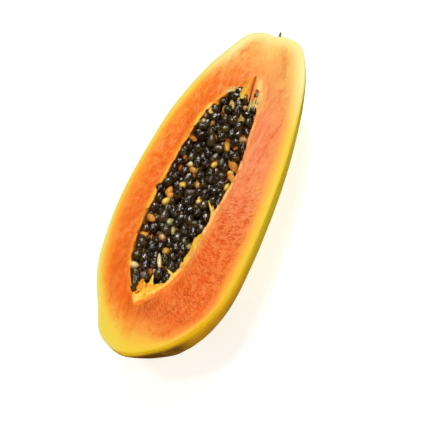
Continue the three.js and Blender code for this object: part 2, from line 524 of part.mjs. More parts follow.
// ---- body: skin and flesh, grown as one ----------------------------------
function bodySolid() {
  const left = lineThrough(FACE_LEFT), right = lineThrough(FACE_RIGHT);
  const points = [], faces = [];
  const at = (i, j) => i * (BODY_STEPS + 1) + j;
  for (let i = 0; i <= BODY_STATIONS; i++) {
    const v = i / BODY_STATIONS;
    const l = left.getPoint(v), r = right.getPoint(v);
    const cx = (l.x + r.x) / 2, cy = (l.y + r.y) / 2, hx = (l.x - r.x) / 2, hy = (l.y - r.y) / 2;
    const depth = Math.hypot(hx, hy) * yAt(DEPTH_RATIO, cx);
    const reach = TIP_SHIFT * Math.exp(-((v / TIP_REACH) ** 2)) * (1 - Math.exp(-((v / 0.02) ** 2)));
    const swell = yAt(SWELL, cx);
    const tip = i === 0 || i === BODY_STATIONS;
    for (let j = 0; j <= BODY_STEPS; j++) {
      const a = (Math.PI * j) / BODY_STEPS;
      const c = Math.cos(a), s = Math.sin(a);
      const out = swell * Math.max(s, 0) ** 0.8 * (0.5 - 0.5 * c);
      points.push(tip ? [cx, cy, CUT_HEIGHT] : [cx + hx * c - reach * s - 0.5 * out, cy + hy * c - out, CUT_HEIGHT - depth * s]);
    }
  }
  for (let i = 0; i < BODY_STATIONS; i++) {
    for (let j = 0; j < BODY_STEPS; j++) {
      faces.push([at(i, j), at(i + 1, j + 1), at(i, j + 1)], [at(i, j), at(i + 1, j), at(i + 1, j + 1)]);
    }
    const b = BODY_STEPS;
    faces.push([at(i, 0), at(i + 1, b), at(i + 1, 0)], [at(i, 0), at(i, b), at(i + 1, b)]);
  }
  return solidOf(triangles(points, faces));
}

// ---- cavity ---------------------------------------------------------------
function cavitySolid() {
  const x0 = CAVITY_LEFT[0][0] - CAVITY_CLEAR, x1 = CAVITY_LEFT[CAVITY_LEFT.length - 1][0] + CAVITY_CLEAR;
  const points = [], faces = [];
  const nx = CAVITY_STATIONS, ny = CAVITY_STEPS;
  const at = (layer, i, j) => layer * (nx + 1) * (ny + 1) + i * (ny + 1) + j;
  for (let layer = 0; layer < 2; layer++) {
    for (let i = 0; i <= nx; i++) {
      const q = 0.5 - 0.5 * Math.cos((Math.PI * i) / nx);
      const x = x0 + (x1 - x0) * q;
      let l = yAt(CAVITY_LEFT, x) + CAVITY_CLEAR, r = yAt(CAVITY_RIGHT, x) - CAVITY_CLEAR;
      if (l - r < 1) { const m = (l + r) / 2; l = m + 0.5; r = m - 0.5; }
      const c = (l + r) / 2, h = (l - r) / 2;
      const deep = 1.2 + CAVITY_DEPTH * Math.sin(Math.PI * q) ** 0.36;
      for (let j = 0; j <= ny; j++) {
        const e = Math.sin((Math.PI / 2) * ((2 * j) / ny - 1));
        const y = c + h * e;
        const z = layer === 1 ? CUT_HEIGHT + 6 : CUT_HEIGHT - deep * Math.max(1 - Math.abs(e) ** 3.2, 0) ** 0.5;
        points.push([x, y, z]);
      }
    }
  }
  const quad = (a, b, c, d) => faces.push([a, b, c], [a, c, d]);
  for (let i = 0; i < nx; i++) {
    for (let j = 0; j < ny; j++) {
      quad(at(0, i, j), at(0, i, j + 1), at(0, i + 1, j + 1), at(0, i + 1, j));
      quad(at(1, i, j), at(1, i + 1, j), at(1, i + 1, j + 1), at(1, i, j + 1));
    }
    quad(at(0, i, 0), at(0, i + 1, 0), at(1, i + 1, 0), at(1, i, 0));
    quad(at(0, i, ny), at(1, i, ny), at(1, i + 1, ny), at(0, i + 1, ny));
  }
  for (let j = 0; j < ny; j++) {
    quad(at(0, 0, j), at(1, 0, j), at(1, 0, j + 1), at(0, 0, j + 1));
    quad(at(0, nx, j), at(0, nx, j + 1), at(1, nx, j + 1), at(1, nx, j));
  }
  return solidOf(triangles(points, faces));
}

function halfGeometry() {
  const floor = new THREE.BoxGeometry(400, 200, 40);
  floor.translate(0, 0, -20);
  return geometryOf(bodySolid().subtract(cavitySolid()).subtract(solidOf(floor)));
}

// ---- seeds ------------------------------------------------------------------
// Egg-shaped solid of revolution, blunt at one end.
function seedGeometry([x, y, z, a, b, heading, tilt, low]) {
  const profile = low
    ? [[0, -1], [0.8, -0.5], [0.86, 0.38], [0, 1]]
    : [[0, -1], [0.72, -0.66], [0.99, -0.02], [0.66, 0.66], [0, 1]];
  const g = new THREE.LatheGeometry(profile.map(([r, h]) => new THREE.Vector2(r * b, h * a)), low ? 5 : SEED_SIDES);
  const az = THREE.MathUtils.degToRad(heading), ti = THREE.MathUtils.degToRad(tilt);
  const axis = new THREE.Vector3(Math.cos(az) * Math.cos(ti), Math.sin(az) * Math.cos(ti), Math.sin(ti));
  g.applyQuaternion(new THREE.Quaternion().setFromUnitVectors(new THREE.Vector3(0, 1, 0), axis));
  g.translate(x, y, CUT_HEIGHT + z);
  return g;
}

function threadGeometry(p, q) {
  const from = new THREE.Vector3(p[0], p[1], CUT_HEIGHT + p[2]), to = new THREE.Vector3(q[0], q[1], CUT_HEIGHT + q[2]);
  const along = to.clone().sub(from);
  const g = new THREE.CylinderGeometry(THREAD_RADIUS, THREAD_RADIUS, along.length(), 3);
  g.applyQuaternion(new THREE.Quaternion().setFromUnitVectors(new THREE.Vector3(0, 1, 0), along.clone().normalize()));
  const mid = from.add(to).multiplyScalar(0.5);
  g.translate(mid.x, mid.y, mid.z);
  return g;
}

function groupGeometry({ seeds, threads }) {
  let solid = solidOf(seedGeometry(seeds[0]));
  for (const seed of seeds.slice(1)) solid = solid.add(solidOf(seedGeometry(seed)));
  for (const [i, j] of threads) solid = solid.add(solidOf(threadGeometry(seeds[i], seeds[j])));
  return geometryOf(solid);
}

// ---- torn fibre flap at the stem end of the cavity ---------------------------
function flapGeometry() {
  const leaf = new THREE.Shape();
  leaf.moveTo(-6.5, -0.6);
  leaf.quadraticCurveTo(-2, -2.2, 3.4, -1.5);
  leaf.quadraticCurveTo(5.6, -1.1, 6.5, 0);
  leaf.quadraticCurveTo(4, 1.5, 0, 1.7);
  leaf.quadraticCurveTo(-4.5, 1.6, -6.5, 0.5);
  leaf.closePath();
  const g = new THREE.ExtrudeGeometry(leaf, { depth: 0.9, bevelEnabled: false, curveSegments: 3 });
  g.rotateX(THREE.MathUtils.degToRad(-10));
  g.rotateZ(THREE.MathUtils.degToRad(12));
  g.translate(82.8, -7.8, CUT_HEIGHT - 5.6);
  return geometryOf(solidOf(g));
}

// ---- dried remnant of the fruit stalk ----------------------------------------
function stalkGeometry() {
  const r = STALK_RADIUS, l = STALK_LENGTH;
  const profile = [[0, 0], [r, 0], [r * 0.82, l * 0.35], [r * 0.5, l * 0.8], [r * 0.28, l], [0, l]];
  const g = new THREE.LatheGeometry(profile.map(([x, y]) => new THREE.Vector2(x, y)), 9);
  g.rotateZ(-Math.PI / 2);
  g.rotateY(THREE.MathUtils.degToRad(-12));
  g.translate(133.3, -4.4, CUT_HEIGHT - 2.6);
  return geometryOf(solidOf(g));
}

// ---- materials -----------------------------------------------------------------
const finish = (color, roughness) => new THREE.MeshStandardMaterial({ color, roughness, metalness: 0 });
const COLOURS = { orange: 0xe08a2c, yellow: 0xe8bf4a, gold: 0xd2a03a, cream: 0xe9d79a, olive: 0xa9a061, tan: 0xbb9455 };

// ---- scene ------------------------------------------------------------------------
const papaya = new THREE.Group();
function piece(name, geometry, material) {
  const mesh = new THREE.Mesh(geometry, material);
  mesh.name = name;
  papaya.add(mesh);
}

piece("papaya_half", halfGeometry(), finish(0xf07a34, 0.45));
SEED_GROUPS.forEach((group, i) => {
  piece("seed_group_" + String(i + 1).padStart(2, "0"), groupGeometry(group), finish(0x2b241c, 0.25));
});
UNDEVELOPED.forEach(([colour, ...seed], i) => {
  piece("undeveloped_seed_" + String(i + 1).padStart(2, "0"), geometryOf(solidOf(seedGeometry(seed))), finish(COLOURS[colour], 0.4));
});
piece("rim_seed", geometryOf(solidOf(seedGeometry(RIM_SEED))), finish(0x1d1611, 0.25));
piece("flat_seed", geometryOf(solidOf(seedGeometry(FLAT_SEED))), finish(0x8f8a80, 0.4));
piece("fibre_flap", flapGeometry(), finish(0xe6cf8e, 0.5));
piece("stalk_remnant", stalkGeometry(), finish(0x5a4630, 0.9));

export default papaya;
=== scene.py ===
import math

import bpy
import numpy as np
from mathutils import Matrix, Vector


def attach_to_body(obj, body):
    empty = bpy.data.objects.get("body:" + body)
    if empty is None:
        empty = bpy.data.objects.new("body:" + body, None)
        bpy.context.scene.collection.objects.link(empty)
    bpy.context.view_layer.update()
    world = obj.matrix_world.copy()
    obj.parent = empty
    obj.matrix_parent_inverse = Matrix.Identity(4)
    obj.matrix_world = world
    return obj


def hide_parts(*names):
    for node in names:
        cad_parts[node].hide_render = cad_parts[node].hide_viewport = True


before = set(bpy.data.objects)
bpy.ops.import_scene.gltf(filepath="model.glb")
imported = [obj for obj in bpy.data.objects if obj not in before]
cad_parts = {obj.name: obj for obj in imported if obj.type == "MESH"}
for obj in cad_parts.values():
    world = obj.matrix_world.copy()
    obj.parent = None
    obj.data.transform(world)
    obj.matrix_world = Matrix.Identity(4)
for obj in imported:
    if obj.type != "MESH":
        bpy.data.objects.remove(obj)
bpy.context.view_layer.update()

MM = 0.001

# ---------------------------------------------------------------- dimensions
CUT = 56.4  # height of the cut face, mm
DEPTH_RATIO = [(-137, 0.85), (-115, 1.03), (-90, 1.07), (-60, 1.075), (-20, 1.075), (0, 1.085),
               (20, 1.095), (50, 1.05), (80, 0.98), (105, 0.93), (133, 0.9)]
TIP_SHIFT, TIP_REACH = 1.2, 0.15  # how far the back reaches out past the blossom tip
SWELL = [(-137, 0.0), (-131, 1.4), (-122, 3.4), (-113, 6.0), (-104, 5.8), (-92, 4.0), (-80, 2.4), (-62, 1.0), (-40, 0.0), (133, 0.0)]  # how far it bellies out to -Y
CAVITY_DEPTH = 20.0

# Edge of the cut face and of the cavity, from the blossom end to the stem end, mm.
FACE_LEFT = [
    (-136.8, 2.9), (-136.7, 4.7), (-136.4, 6.8), (-135.7, 9.4), (-134.3, 12.7), (-131.8, 16.7), (-128.3, 21.9), (-122.3, 26.4),
    (-114.3, 30.4), (-104.8, 34.9), (-94, 40.4), (-81.3, 45.4), (-67, 49.2), (-51.3, 51.6), (-34.6, 53.3), (-17.3, 53.7),
    (0.4, 53), (18, 51.9), (35.3, 50.3), (51.8, 48), (67.4, 44.9), (81.7, 41), (94.4, 36.5), (105.3, 31.5),
    (114.6, 26.6), (122.4, 22.3), (128.4, 17.9), (131.5, 12.8), (132.5, 8.3), (132.8, 4.7), (132.9, 2), (132.8, -0.1),
    (132.8, -1.9),
]
FACE_RIGHT = [
    (-136.8, 2.9), (-136.8, 1.1), (-136.5, -1), (-136, -3.8), (-134.8, -7.2), (-132.8, -11.6), (-129.6, -16.8), (-125.1, -22.9),
    (-118.7, -29.5), (-110.4, -36.2), (-99.8, -42.5), (-86.9, -47.6), (-72.2, -51.2), (-56.1, -53.2), (-39, -53.8), (-21.2, -53.5),
    (-3.1, -52.8), (14.9, -51.6), (32.6, -50), (49.6, -47.9), (65.7, -45.5), (80.6, -42.8), (94.1, -39.6), (105.8, -36),
    (115.8, -31.9), (123.9, -27.6), (129.6, -22.6), (132, -17.1), (132.6, -12.3), (132.7, -8.7), (132.7, -5.9), (132.8, -3.7),
    (132.8, -1.9),
]
CAVITY_LEFT = [
    (-97.3, 9.1), (-95.1, 11.6), (-92.1, 13.7), (-88.9, 15.9), (-85.2, 18.3), (-81, 20.8), (-76, 23.3), (-70.2, 25.6),
    (-63.5, 27.6), (-56, 29.3), (-47.7, 30.5), (-38.7, 31.2), (-29.2, 31.6), (-19.2, 31.7), (-9, 31.5), (1.4, 31),
    (11.8, 30.3), (22.1, 29.3), (32, 28.2), (41.4, 26.9), (50.3, 25.4), (58.5, 23.5), (65.8, 21), (72.1, 18.1),
    (77.3, 14.7), (81.6, 11.2), (85.3, 7.9), (89.1, 5.9), (92.8, 4.6), (95.2, 1.9), (96, -1.5),
]
CAVITY_RIGHT = [
    (-97.3, 9.1), (-95.8, 6), (-93.3, 3.4), (-90.4, 0.7), (-87, -2), (-83, -4.7), (-78.2, -7.3), (-72.5, -9.8),
    (-65.9, -12), (-58.5, -13.8), (-50.3, -15.1), (-41.5, -16), (-32, -16.6), (-22.2, -17.2), (-12, -18), (-1.7, -19.1),
    (8.5, -19.9), (18.7, -20.3), (28.6, -19.8), (38, -18.8), (46.9, -17.7), (55.1, -16.7), (62.7, -16.1), (69.6, -15.4),
    (75.7, -14.5), (81, -13.2), (85.6, -11.6), (89.6, -9.8), (92.8, -7.6), (95.1, -4.9), (96, -1.5),
]

# Seeds: x, y, height over the cut face, half length, half width, heading, tilt,
# and 1 for a seed of the lower layer. The same table as the CAD model's.
SEED_GROUPS = [
    [
        (83.9, 5.7, -3.8, 3.46, 2.54, -9, -18),
        (77.9, 8.9, -3.6, 4.43, 2.72, -90, 9),
        (72.1, 13.5, -4.7, 3.46, 3.09, -20, -9),
        (77, -1.7, -3.1, 3.46, 2.54, 24, 18),
        (72.7, 2, -4.8, 4.33, 2.72, 49, 17),
        (65.9, 1.3, -3.2, 3.46, 2.91, 1, 19),
        (66.6, 7.8, -3.5, 3.46, 3.09, -49, -11),
        (71.6, -9.3, -3.3, 3.46, 2.54, -67, -22),
        (65.8, -6.5, -4, 3.78, 2.72, -73, -5),
        (62.9, -2.4, -11.5, 3.72, 2.82, 23, -1, 1),
        (66.7, 9.9, -9.6, 3.6, 2.95, 73, -2, 1),
        (69.3, -5.8, -9.1, 3.36, 2.82, 144, 8, 1),
        (69, 0.8, -10.5, 3.77, 2.71, 89, 22, 1),
        (72.6, 8.5, -9, 3.74, 2.8, 92, 13, 1),
        (74.9, -2.4, -9.1, 3.56, 2.78, 47, -19, 1),
        (77.9, 4.4, -8.3, 3.32, 2.74, 167, 0, 1),
    ],
    [
        (65.2, 14.3, -4.4, 3.46, 3.09, -31, -19),
        (59.8, 16.1, -8.4, 4.87, 2.17, 26, 9),
        (58.3, 13.8, -3.4, 3.46, 3.09, -67, 18),
        (58.2, 7.5, -4.1, 3.46, 2.72, 1, 21),
        (58.8, 1.1, -3.6, 3.6, 3.27, -20, 10),
        (51.7, 10, -3.6, 3.46, 2.91, 1, -6),
        (51.5, 3.7, -3.5, 3.46, 2.91, -4, -18),
        (50.4, 3, -9.9, 3.76, 2.78, 106, -14, 1),
        (50.9, 9.6, -13, 3.59, 2.95, 73, -18, 1),
        (56.6, 0.1, -10.4, 3.7, 2.77, 23, -21, 1),
        (56.6, 6.1, -12.7, 3.58, 2.83, 153, 9, 1),
        (60.3, 11.1, -11.2, 3.67, 2.7, 16, -11, 1),
        (63.3, 3.8, -10.5, 3.53, 2.75, 22, 2, 1),
    ],
    [
        (60, -10.1, -3.6, 3.46, 3.09, -9, 20),
        (51.2, -12.8, -4.5, 4.51, 2.54, 35, 12),
        (55.1, -4.9, -3.7, 3.6, 3.38, -37, 16),
        (48.7, -7.3, -3, 3.46, 2.72, -20, -16),
        (50.6, -9.8, -9.6, 3.58, 2.7, 158, 20, 1),
        (50.8, -3.8, -11.8, 3.47, 2.85, 79, -7, 1),
        (56.5, -6.7, -10.8, 3.76, 2.76, 87, -2, 1),
        (62.9, -8.1, -9.2, 3.72, 2.77, 174, 12, 1),
    ],
    [
        (52.2, 16.8, -4.7, 3.53, 2.8, 1, 15),
        (48, 21.1, -2.7, 3.46, 2.36, -90, 3),
        (44.4, 21.5, -7.3, 3.6, 3.09, -84, -10),
        (40.7, 17.1, -3.6, 3.6, 3.27, -55, 22),
        (38.7, 24.4, -4.8, 3.46, 2.36, 1, -18),
        (38.4, 18.3, -11.4, 3.58, 2.87, 58, 10, 1),
        (44.3, 16.5, -11.7, 3.32, 2.82, 52, -20, 1),
        (52.3, 15.9, -10.8, 3.52, 2.92, 127, 7, 1),
    ],
    [
        (44.1, 3.5, -3.4, 3.6, 3.09, -90, -5),
        (45.5, 12.9, -2.8, 3.46, 2.47, 28, 1),
        (38.9, 9.7, -3.6, 3.96, 2.91, 1, 18),
        (47.4, 12.9, -8.1, 3.26, 2.67, 23, -6),
        (45.7, 7, -8.4, 3.26, 2.67, 28, 2),
        (39.7, 4.8, -10.3, 3.71, 2.7, 142, 2, 1),
        (38.9, 11.5, -11.4, 3.38, 2.76, 129, 22, 1),
        (44.3, 7, -14.2, 3.66, 2.88, 92, -15, 1),
    ],
    [
        (48.5, -1.7, -5.4, 3.78, 3.02, -9, 10),
        (41.1, -6.9, -3.6, 3.46, 3.02, -43, 22),
        (38.3, -14.3, -3.2, 3.6, 2.91, -9, 20),
        (34.5, 2, -3.6, 3.78, 3.27, -67, -6),
        (33.7, 1.7, -10.1, 3.66, 2.81, 21, -13, 1),
        (39.3, -9.8, -11.2, 3.66, 2.71, 83, -4, 1),
        (38.5, -3, -10, 3.57, 2.95, 157, 19, 1),
        (44.9, -6.5, -11.5, 3.29, 2.74, 168, -16, 1),
        (44.7, -0, -10.7, 3.69, 2.84, 65, 2, 1),
    ],
    [
        (31.4, 24.7, -5.6, 3.96, 3.13, -9, 18),
        (32, 17, -3.8, 3.78, 3.27, 1, -14),
        (29, 8.2, -3.7, 3.78, 2.91, 41, 17),
        (26.6, 10.5, -11.2, 3.28, 2.79, 103, 20, 1),
        (26.1, 17.6, -10.7, 3.34, 2.94, 173, 16, 1),
        (32.3, 7.4, -11.8, 3.54, 2.77, 27, -17, 1),
        (32.9, 13.8, -9.9, 3.65, 2.94, 99, -17, 1),
        (32.3, 20.6, -10.6, 3.58, 2.98, 11, -7, 1),
    ],
    [
        (31.5, -11.7, -4.3, 3.78, 3.34, 1, -8),
        (29.9, -5.8, -2.9, 3.46, 2.54, 28, -16),
        (26.4, 2.1, -3.5, 3.46, 2.72, -20, 4),
        (24.7, -3.6, -6.4, 3.78, 3.45, 1, 8),
        (21.4, -8.4, -3, 3.46, 2.72, -9, -2),
        (20.5, -6.2, -11.2, 3.51, 2.82, 157, -13, 1),
        (21, 0.5, -11.3, 3.74, 2.77, 51, -8, 1),
        (26.4, -9.7, -10.9, 3.55, 2.74, 9, -12, 1),
        (26.4, -2.1, -12.8, 3.43, 2.86, 66, 19, 1),
        (26.8, 4, -9.7, 3.75, 2.78, 148, -16, 1),
        (33.3, -11.3, -10.8, 3.43, 2.91, 117, 6, 1),
        (31.6, -4.7, -11.4, 3.73, 2.7, 52, -3, 1),
    ],
    [
        (24.1, 18.1, -4.1, 4.33, 2.91, -4, -22),
        (21.6, 24.9, -7.7, 3.46, 2.54, 1, -20),
        (17.1, 22.2, -4.2, 3.46, 2.72, -67, 0),
        (11.6, 27.3, -5.6, 3.6, 2.54, 1, 10),
        (11.6, 18.5, -3.5, 3.46, 2.72, 1, -18),
        (24.9, 23.9, -2.9, 3.46, 2.61, -20, 3),
        (16.9, 16.4, -8.7, 3.26, 2.67, 23, 5),
        (14.4, 18.8, -13.7, 3.64, 2.81, 179, -3, 1),
        (14.5, 23.5, -9.4, 3.67, 2.73, 75, -6, 1),
        (21.2, 13.9, -12.6, 3.3, 2.98, 171, 21, 1),
        (20.4, 20.8, -11.7, 3.32, 2.83, 109, -7, 1),
    ],
    [
        (20.6, 12.4, -3.8, 3.96, 2.91, 1, 10),
        (19.8, 5.7, -3.9, 3.46, 2.91, -49, -20),
        (15.2, 0.9, -4.7, 3.46, 2.76, 1, 0),
        (10.5, 5.9, -4.2, 3.6, 3.02, -31, -20),
        (9.2, 0.7, -11.4, 3.29, 2.73, 173, -18, 1),
        (9.1, 7.7, -10.7, 3.32, 2.82, 38, -5, 1),
        (14.5, 4.3, -10.9, 3.34, 2.85, 92, 0, 1),
        (14.5, 11.2, -11.2, 3.65, 2.76, 138, 13, 1),
        (20.6, 7.5, -11.1, 3.48, 2.96, 125, -9, 1),
    ],
    [
        (14.4, -8.6, -4.1, 3.6, 3.09, 1, -18),
        (9.6, -2.8, -3.3, 3.46, 3.02, 1, -12),
        (7.2, -9.6, -4.1, 4.15, 3.45, -79, 17),
        (9.2, -13.4, -10.2, 3.33, 2.72, 121, -12, 1),
        (9, -6, -10.4, 3.29, 2.77, 178, 0, 1),
        (14.7, -9.7, -10.5, 3.55, 2.87, 25, 11, 1),
        (14.8, -2.8, -11.1, 3.71, 2.8, 77, 16, 1),
        (20.7, -13, -10.3, 3.64, 2.83, 115, 0, 1),
    ],
    [
        (5.8, 21.9, -4.5, 3.46, 3.09, -31, 7),
        (6.9, 14.3, -4.8, 3.96, 2.91, -20, 5),
        (-0.6, 24.4, -4.1, 3.46, 2.91, -55, -4),
        (4.4, 27.9, -5.7, 3.46, 2.47, -9, 7),
        (3.1, 17.5, -12.1, 3.43, 2.95, 129, 8, 1),
        (2.2, 24.2, -10.4, 3.53, 2.94, 71, 21, 1),
        (8.8, 15, -10.5, 3.44, 2.71, 107, 20, 1),
        (8.4, 21.7, -11.4, 3.68, 2.85, 146, -18, 1),
    ],
    [
        (-0, -14.3, -3.8, 3.46, 2.17, -9, -20),
        (-3.6, -3.2, -3.6, 3.71, 3.27, 1, 19),
        (-5.3, -10, -5, 3.78, 3.45, -9, -14),
        (3.2, -3.7, -5.8, 3.46, 2.72, 1, -8),
        (0.7, -8.7, -2.9, 3.46, 2.54, -67, 7),
        (-2.8, -11.3, -11.3, 3.37, 2.97, 145, 8, 1),
        (-3.7, -4.7, -10.5, 3.71, 2.94, 36, 1, 1),
        (3.7, -9.9, -10.7, 3.37, 2.85, 24, -6, 1),
        (3.1, -3.4, -11.7, 3.49, 2.74, 76, -3, 1),
    ],
    [
        (2.3, 10, -3, 3.46, 2.72, -9, -17),
        (5.1, 1.6, -3.1, 3.46, 2.76, 28, 1),
        (-4.9, 8.2, -4.4, 3.78, 3.09, -67, 2),
        (-0.8, 2.4, -5.8, 3.46, 2.72, -43, -19),
        (-8, 6.3, -13.3, 3.55, 2.79, 145, 11, 1),
        (-2.8, 2.1, -11.3, 3.54, 2.74, 112, -7, 1),
        (-2.4, 9.1, -11.9, 3.43, 2.72, 94, -8, 1),
        (3.1, 3.4, -12.5, 3.42, 2.8, 120, 15, 1),
        (3.4, 10.5, -11.5, 3.73, 2.75, 83, 8, 1),
    ],
    [
        (-7.3, 15.1, -3, 4.15, 2.72, -26, 10),
        (-11.6, 6.8, -3.8, 3.78, 3.27, -31, 19),
        (-13.8, 26.7, -5.1, 3.46, 2.72, 20, 12),
        (-12.4, 19.1, -7, 3.46, 2.91, 1, -8),
        (-2.8, 13.7, -7.9, 3.46, 2.72, 1, -10),
        (-14.8, 14.6, -10.8, 3.53, 2.82, 173, 6, 1),
        (-14.8, 21.8, -12.3, 3.42, 2.92, 155, -14, 1),
        (-9, 11.8, -9.6, 3.31, 2.76, 63, 9, 1),
        (-9.1, 18.1, -12.5, 3.33, 2.88, 112, 15, 1),
        (-8.8, 24.8, -10.4, 3.77, 2.95, 173, -9, 1),
        (-3.1, 15.4, -13.9, 3.68, 2.96, 23, -15, 1),
        (-3.6, 20.6, -10.4, 3.29, 2.76, 26, 0, 1),
    ],
    [
        (-20, -10.7, -3.9, 4.15, 3.38, 20, -7),
        (-18.1, -4, -3.7, 3.46, 2.91, 11, -19),
        (-9.5, 1.5, -8.9, 3.26, 2.67, 53, -12),
        (-8.4, -15.4, -3, 3.46, 2.47, 1, 10),
        (-11.3, -5.8, -3.9, 3.6, 2.91, -31, -2),
        (-15.8, -6.1, -11.2, 3.29, 2.84, 45, 14, 1),
        (-15.3, 1, -11.2, 3.53, 2.77, 69, 20, 1),
        (-9.5, -11, -10.5, 3.64, 2.78, 52, 14, 1),
        (-10, -4.2, -12.3, 3.74, 2.7, 108, 10, 1),
    ],
    [
        (-17.2, 2.6, -4.8, 3.6, 3.13, -67, 10),
        (-23.9, 6.4, -7.2, 4.69, 3.64, -67, 9),
        (-22.4, 12.7, -3.1, 3.78, 2.54, 53, 1),
        (-17.5, 10.5, -6.4, 3.78, 3.2, 20, 9),
        (-29.9, 6.3, -3.8, 3.46, 2.72, -67, -13),
        (-33.3, 10.7, -11.9, 3.53, 2.68, 56, -2, 1),
        (-27.6, 8.3, -13.3, 3.57, 2.7, 178, -2, 1),
        (-28.2, 14.4, -9.9, 3.53, 2.81, 92, -14, 1),
        (-20.6, 3.3, -12.8, 3.69, 2.68, 38, -18, 1),
        (-20.7, 10, -12.4, 3.38, 2.82, 126, -2, 1),
        (-21.9, 15.9, -10.7, 3.55, 2.7, 176, -12, 1),
        (-14.5, 7.7, -11.7, 3.37, 2.95, 118, 15, 1),
    ],
    [
        (-21.7, 25.2, -3.4, 3.78, 3.13, 11, -14),
        (-27.5, 18, -3.7, 4.33, 3.27, 1, -2),
        (-29.8, 28.3, -5.6, 4.15, 2.54, -9, 8),
        (-34.1, 17.4, -5.8, 3.46, 2.36, -67, 9),
        (-20.1, 19.1, -5.7, 3.46, 2.91, -20, 0),
        (-24.5, 25.9, -9.2, 3.26, 2.67, -38, 11),
        (-33.6, 17.5, -11.5, 3.38, 2.89, 80, 13, 1),
        (-33.4, 24.3, -9.6, 3.71, 2.95, 90, -12, 1),
        (-27.5, 20.9, -10.9, 3.75, 2.72, 171, -4, 1),
        (-21.1, 21.9, -12.8, 3.61, 2.7, 77, 13, 1),
    ],
    [
        (-29.9, -12.3, -4.1, 3.46, 2.83, 53, 21),
        (-27.9, -6, -2.9, 3.46, 2.54, -67, -21),
        (-33.6, -0.1, -4.3, 3.78, 3.09, 28, 5),
        (-34, -6.7, -3.8, 3.46, 2.91, 20, 22),
        (-25.4, -0.6, -4.6, 3.46, 2.91, 1, 8),
        (-33.6, -9.3, -10.4, 3.51, 2.73, 142, -5, 1),
        (-33.3, -2.7, -10.5, 3.71, 2.97, 6, -21, 1),
        (-32.9, 4, -10.5, 3.71, 2.8, 44, 9, 1),
        (-27.5, -6.1, -10.6, 3.42, 2.96, 57, 7, 1),
        (-27, 0.9, -10.8, 3.33, 2.69, 91, 8, 1),
        (-22.1, -10.2, -10.4, 3.48, 2.93, 27, 11, 1),
        (-21.7, -3.4, -10.5, 3.64, 2.85, 112, -14, 1),
    ],
    [
        (-45.4, 6.6, -4.4, 3.96, 2.72, 28, 0),
        (-40.4, 1.8, -4.1, 3.6, 2.91, 15, -11),
        (-41.7, -4.3, -3.6, 3.6, 2.8, 1, -15),
        (-48, 0.2, -4.2, 3.78, 2.61, 20, -9),
        (-37.4, 7.7, -8.3, 3.26, 2.67, -35, 7),
        (-45.3, -8.7, -9.6, 3.44, 2.69, 17, 5, 1),
        (-45.4, -2.4, -11.3, 3.29, 2.72, 39, 16, 1),
        (-45.2, 4.2, -10.6, 3.33, 2.73, 114, 21, 1),
        (-39.5, -6.2, -11.2, 3.59, 2.71, 98, -12, 1),
        (-39.4, 0.8, -10.3, 3.57, 2.97, 47, -6, 1),
        (-40.6, 7.1, -13.4, 3.6, 2.84, 147, 5, 1),
    ],
    [
        (-37.3, 12.2, -3.3, 3.46, 3.02, 45, -5),
        (-38.8, 21.3, -3.2, 3.46, 2.91, -20, -1),
        (-38.9, 28.1, -5.6, 3.46, 2.65, 11, -4),
        (-47, 15.8, -3.3, 3.46, 2.54, 53, -6),
        (-49.8, 22.2, -3.2, 4.33, 2.91, 32, -10),
        (-50.5, 10.3, -2.9, 3.46, 2.54, -9, -3),
        (-54.1, 26.3, -5.4, 3.6, 2.72, 20, 15),
        (-53.3, 16.4, -4.1, 3.46, 2.54, -31, -6),
        (-57.5, 18.3, -10.3, 3.28, 2.69, 59, 14, 1),
        (-51.6, 15.1, -10.4, 3.28, 2.75, 128, 14, 1),
        (-51.4, 21.5, -10.4, 3.73, 2.87, 173, 22, 1),
        (-45.7, 11.2, -10.5, 3.45, 2.78, 163, 11, 1),
        (-45.5, 17.7, -11.3, 3.68, 2.88, 16, 6, 1),
        (-39.6, 14.2, -11, 3.73, 2.7, 3, 19, 1),
        (-39.8, 22.1, -10.5, 3.63, 2.92, 23, -9, 1),
    ],
    [
        (-50.2, -5.6, -3, 3.78, 2.69, 1, 15),
        (-56.9, 11.6, -4.8, 3.46, 2.36, 20, 2),
        (-63.5, -2.9, -3.4, 4.51, 3.09, 15, -2),
        (-57.6, -7.1, -3.8, 3.6, 2.72, 11, 7),
        (-59.7, 3.4, -4.3, 3.78, 2.65, 20, 20),
        (-55.2, -0.6, -3.7, 3.46, 2.61, 28, -16),
        (-63.2, -3.2, -9.7, 3.45, 2.86, 46, 21, 1),
        (-62.6, 3, -11.8, 3.36, 2.89, 106, -6, 1),
        (-56.6, -2.7, -10.9, 3.58, 2.98, 52, 4, 1),
        (-56.3, 3.8, -10.7, 3.3, 2.84, 171, -3, 1),
        (-56.8, 11.6, -11.5, 3.63, 2.78, 108, -9, 1),
        (-51.6, -6.5, -10.1, 3.32, 2.74, 99, 11, 1),
        (-50.6, 0.4, -11.2, 3.32, 2.69, 60, -16, 1),
        (-51.1, 7.6, -11.1, 3.5, 2.74, 167, -9, 1),
    ],
    [
        (-64.3, 10.7, -6.1, 4.15, 2.83, -9, 18),
        (-71.3, 3.3, -3.6, 3.46, 3.16, 1, 20),
        (-72.7, -3.2, -3.6, 3.46, 2.98, 1, 7),
        (-75.9, 0.9, -8.4, 3.56, 2.88, 136, -17, 1),
        (-75.7, 7.4, -9.5, 3.4, 2.75, 144, -6, 1),
        (-69.3, -2.3, -9, 3.44, 2.87, 67, -17, 1),
        (-70.1, 4.1, -10.5, 3.33, 2.89, 34, -8, 1),
        (-70.3, 10.6, -10.5, 3.43, 2.87, 136, -10, 1),
        (-63.2, 9.4, -11.8, 3.76, 2.74, 14, 13, 1),
    ],
    [
        (-61.2, 17.5, -3.6, 4.51, 3.27, 1, -7),
        (-61.2, 24.4, -5, 3.78, 3.27, 1, 5),
        (-76.4, 18.9, -5, 4.33, 3.09, 24, 13),
        (-75.2, 12.2, -3.7, 3.78, 3.27, 1, 6),
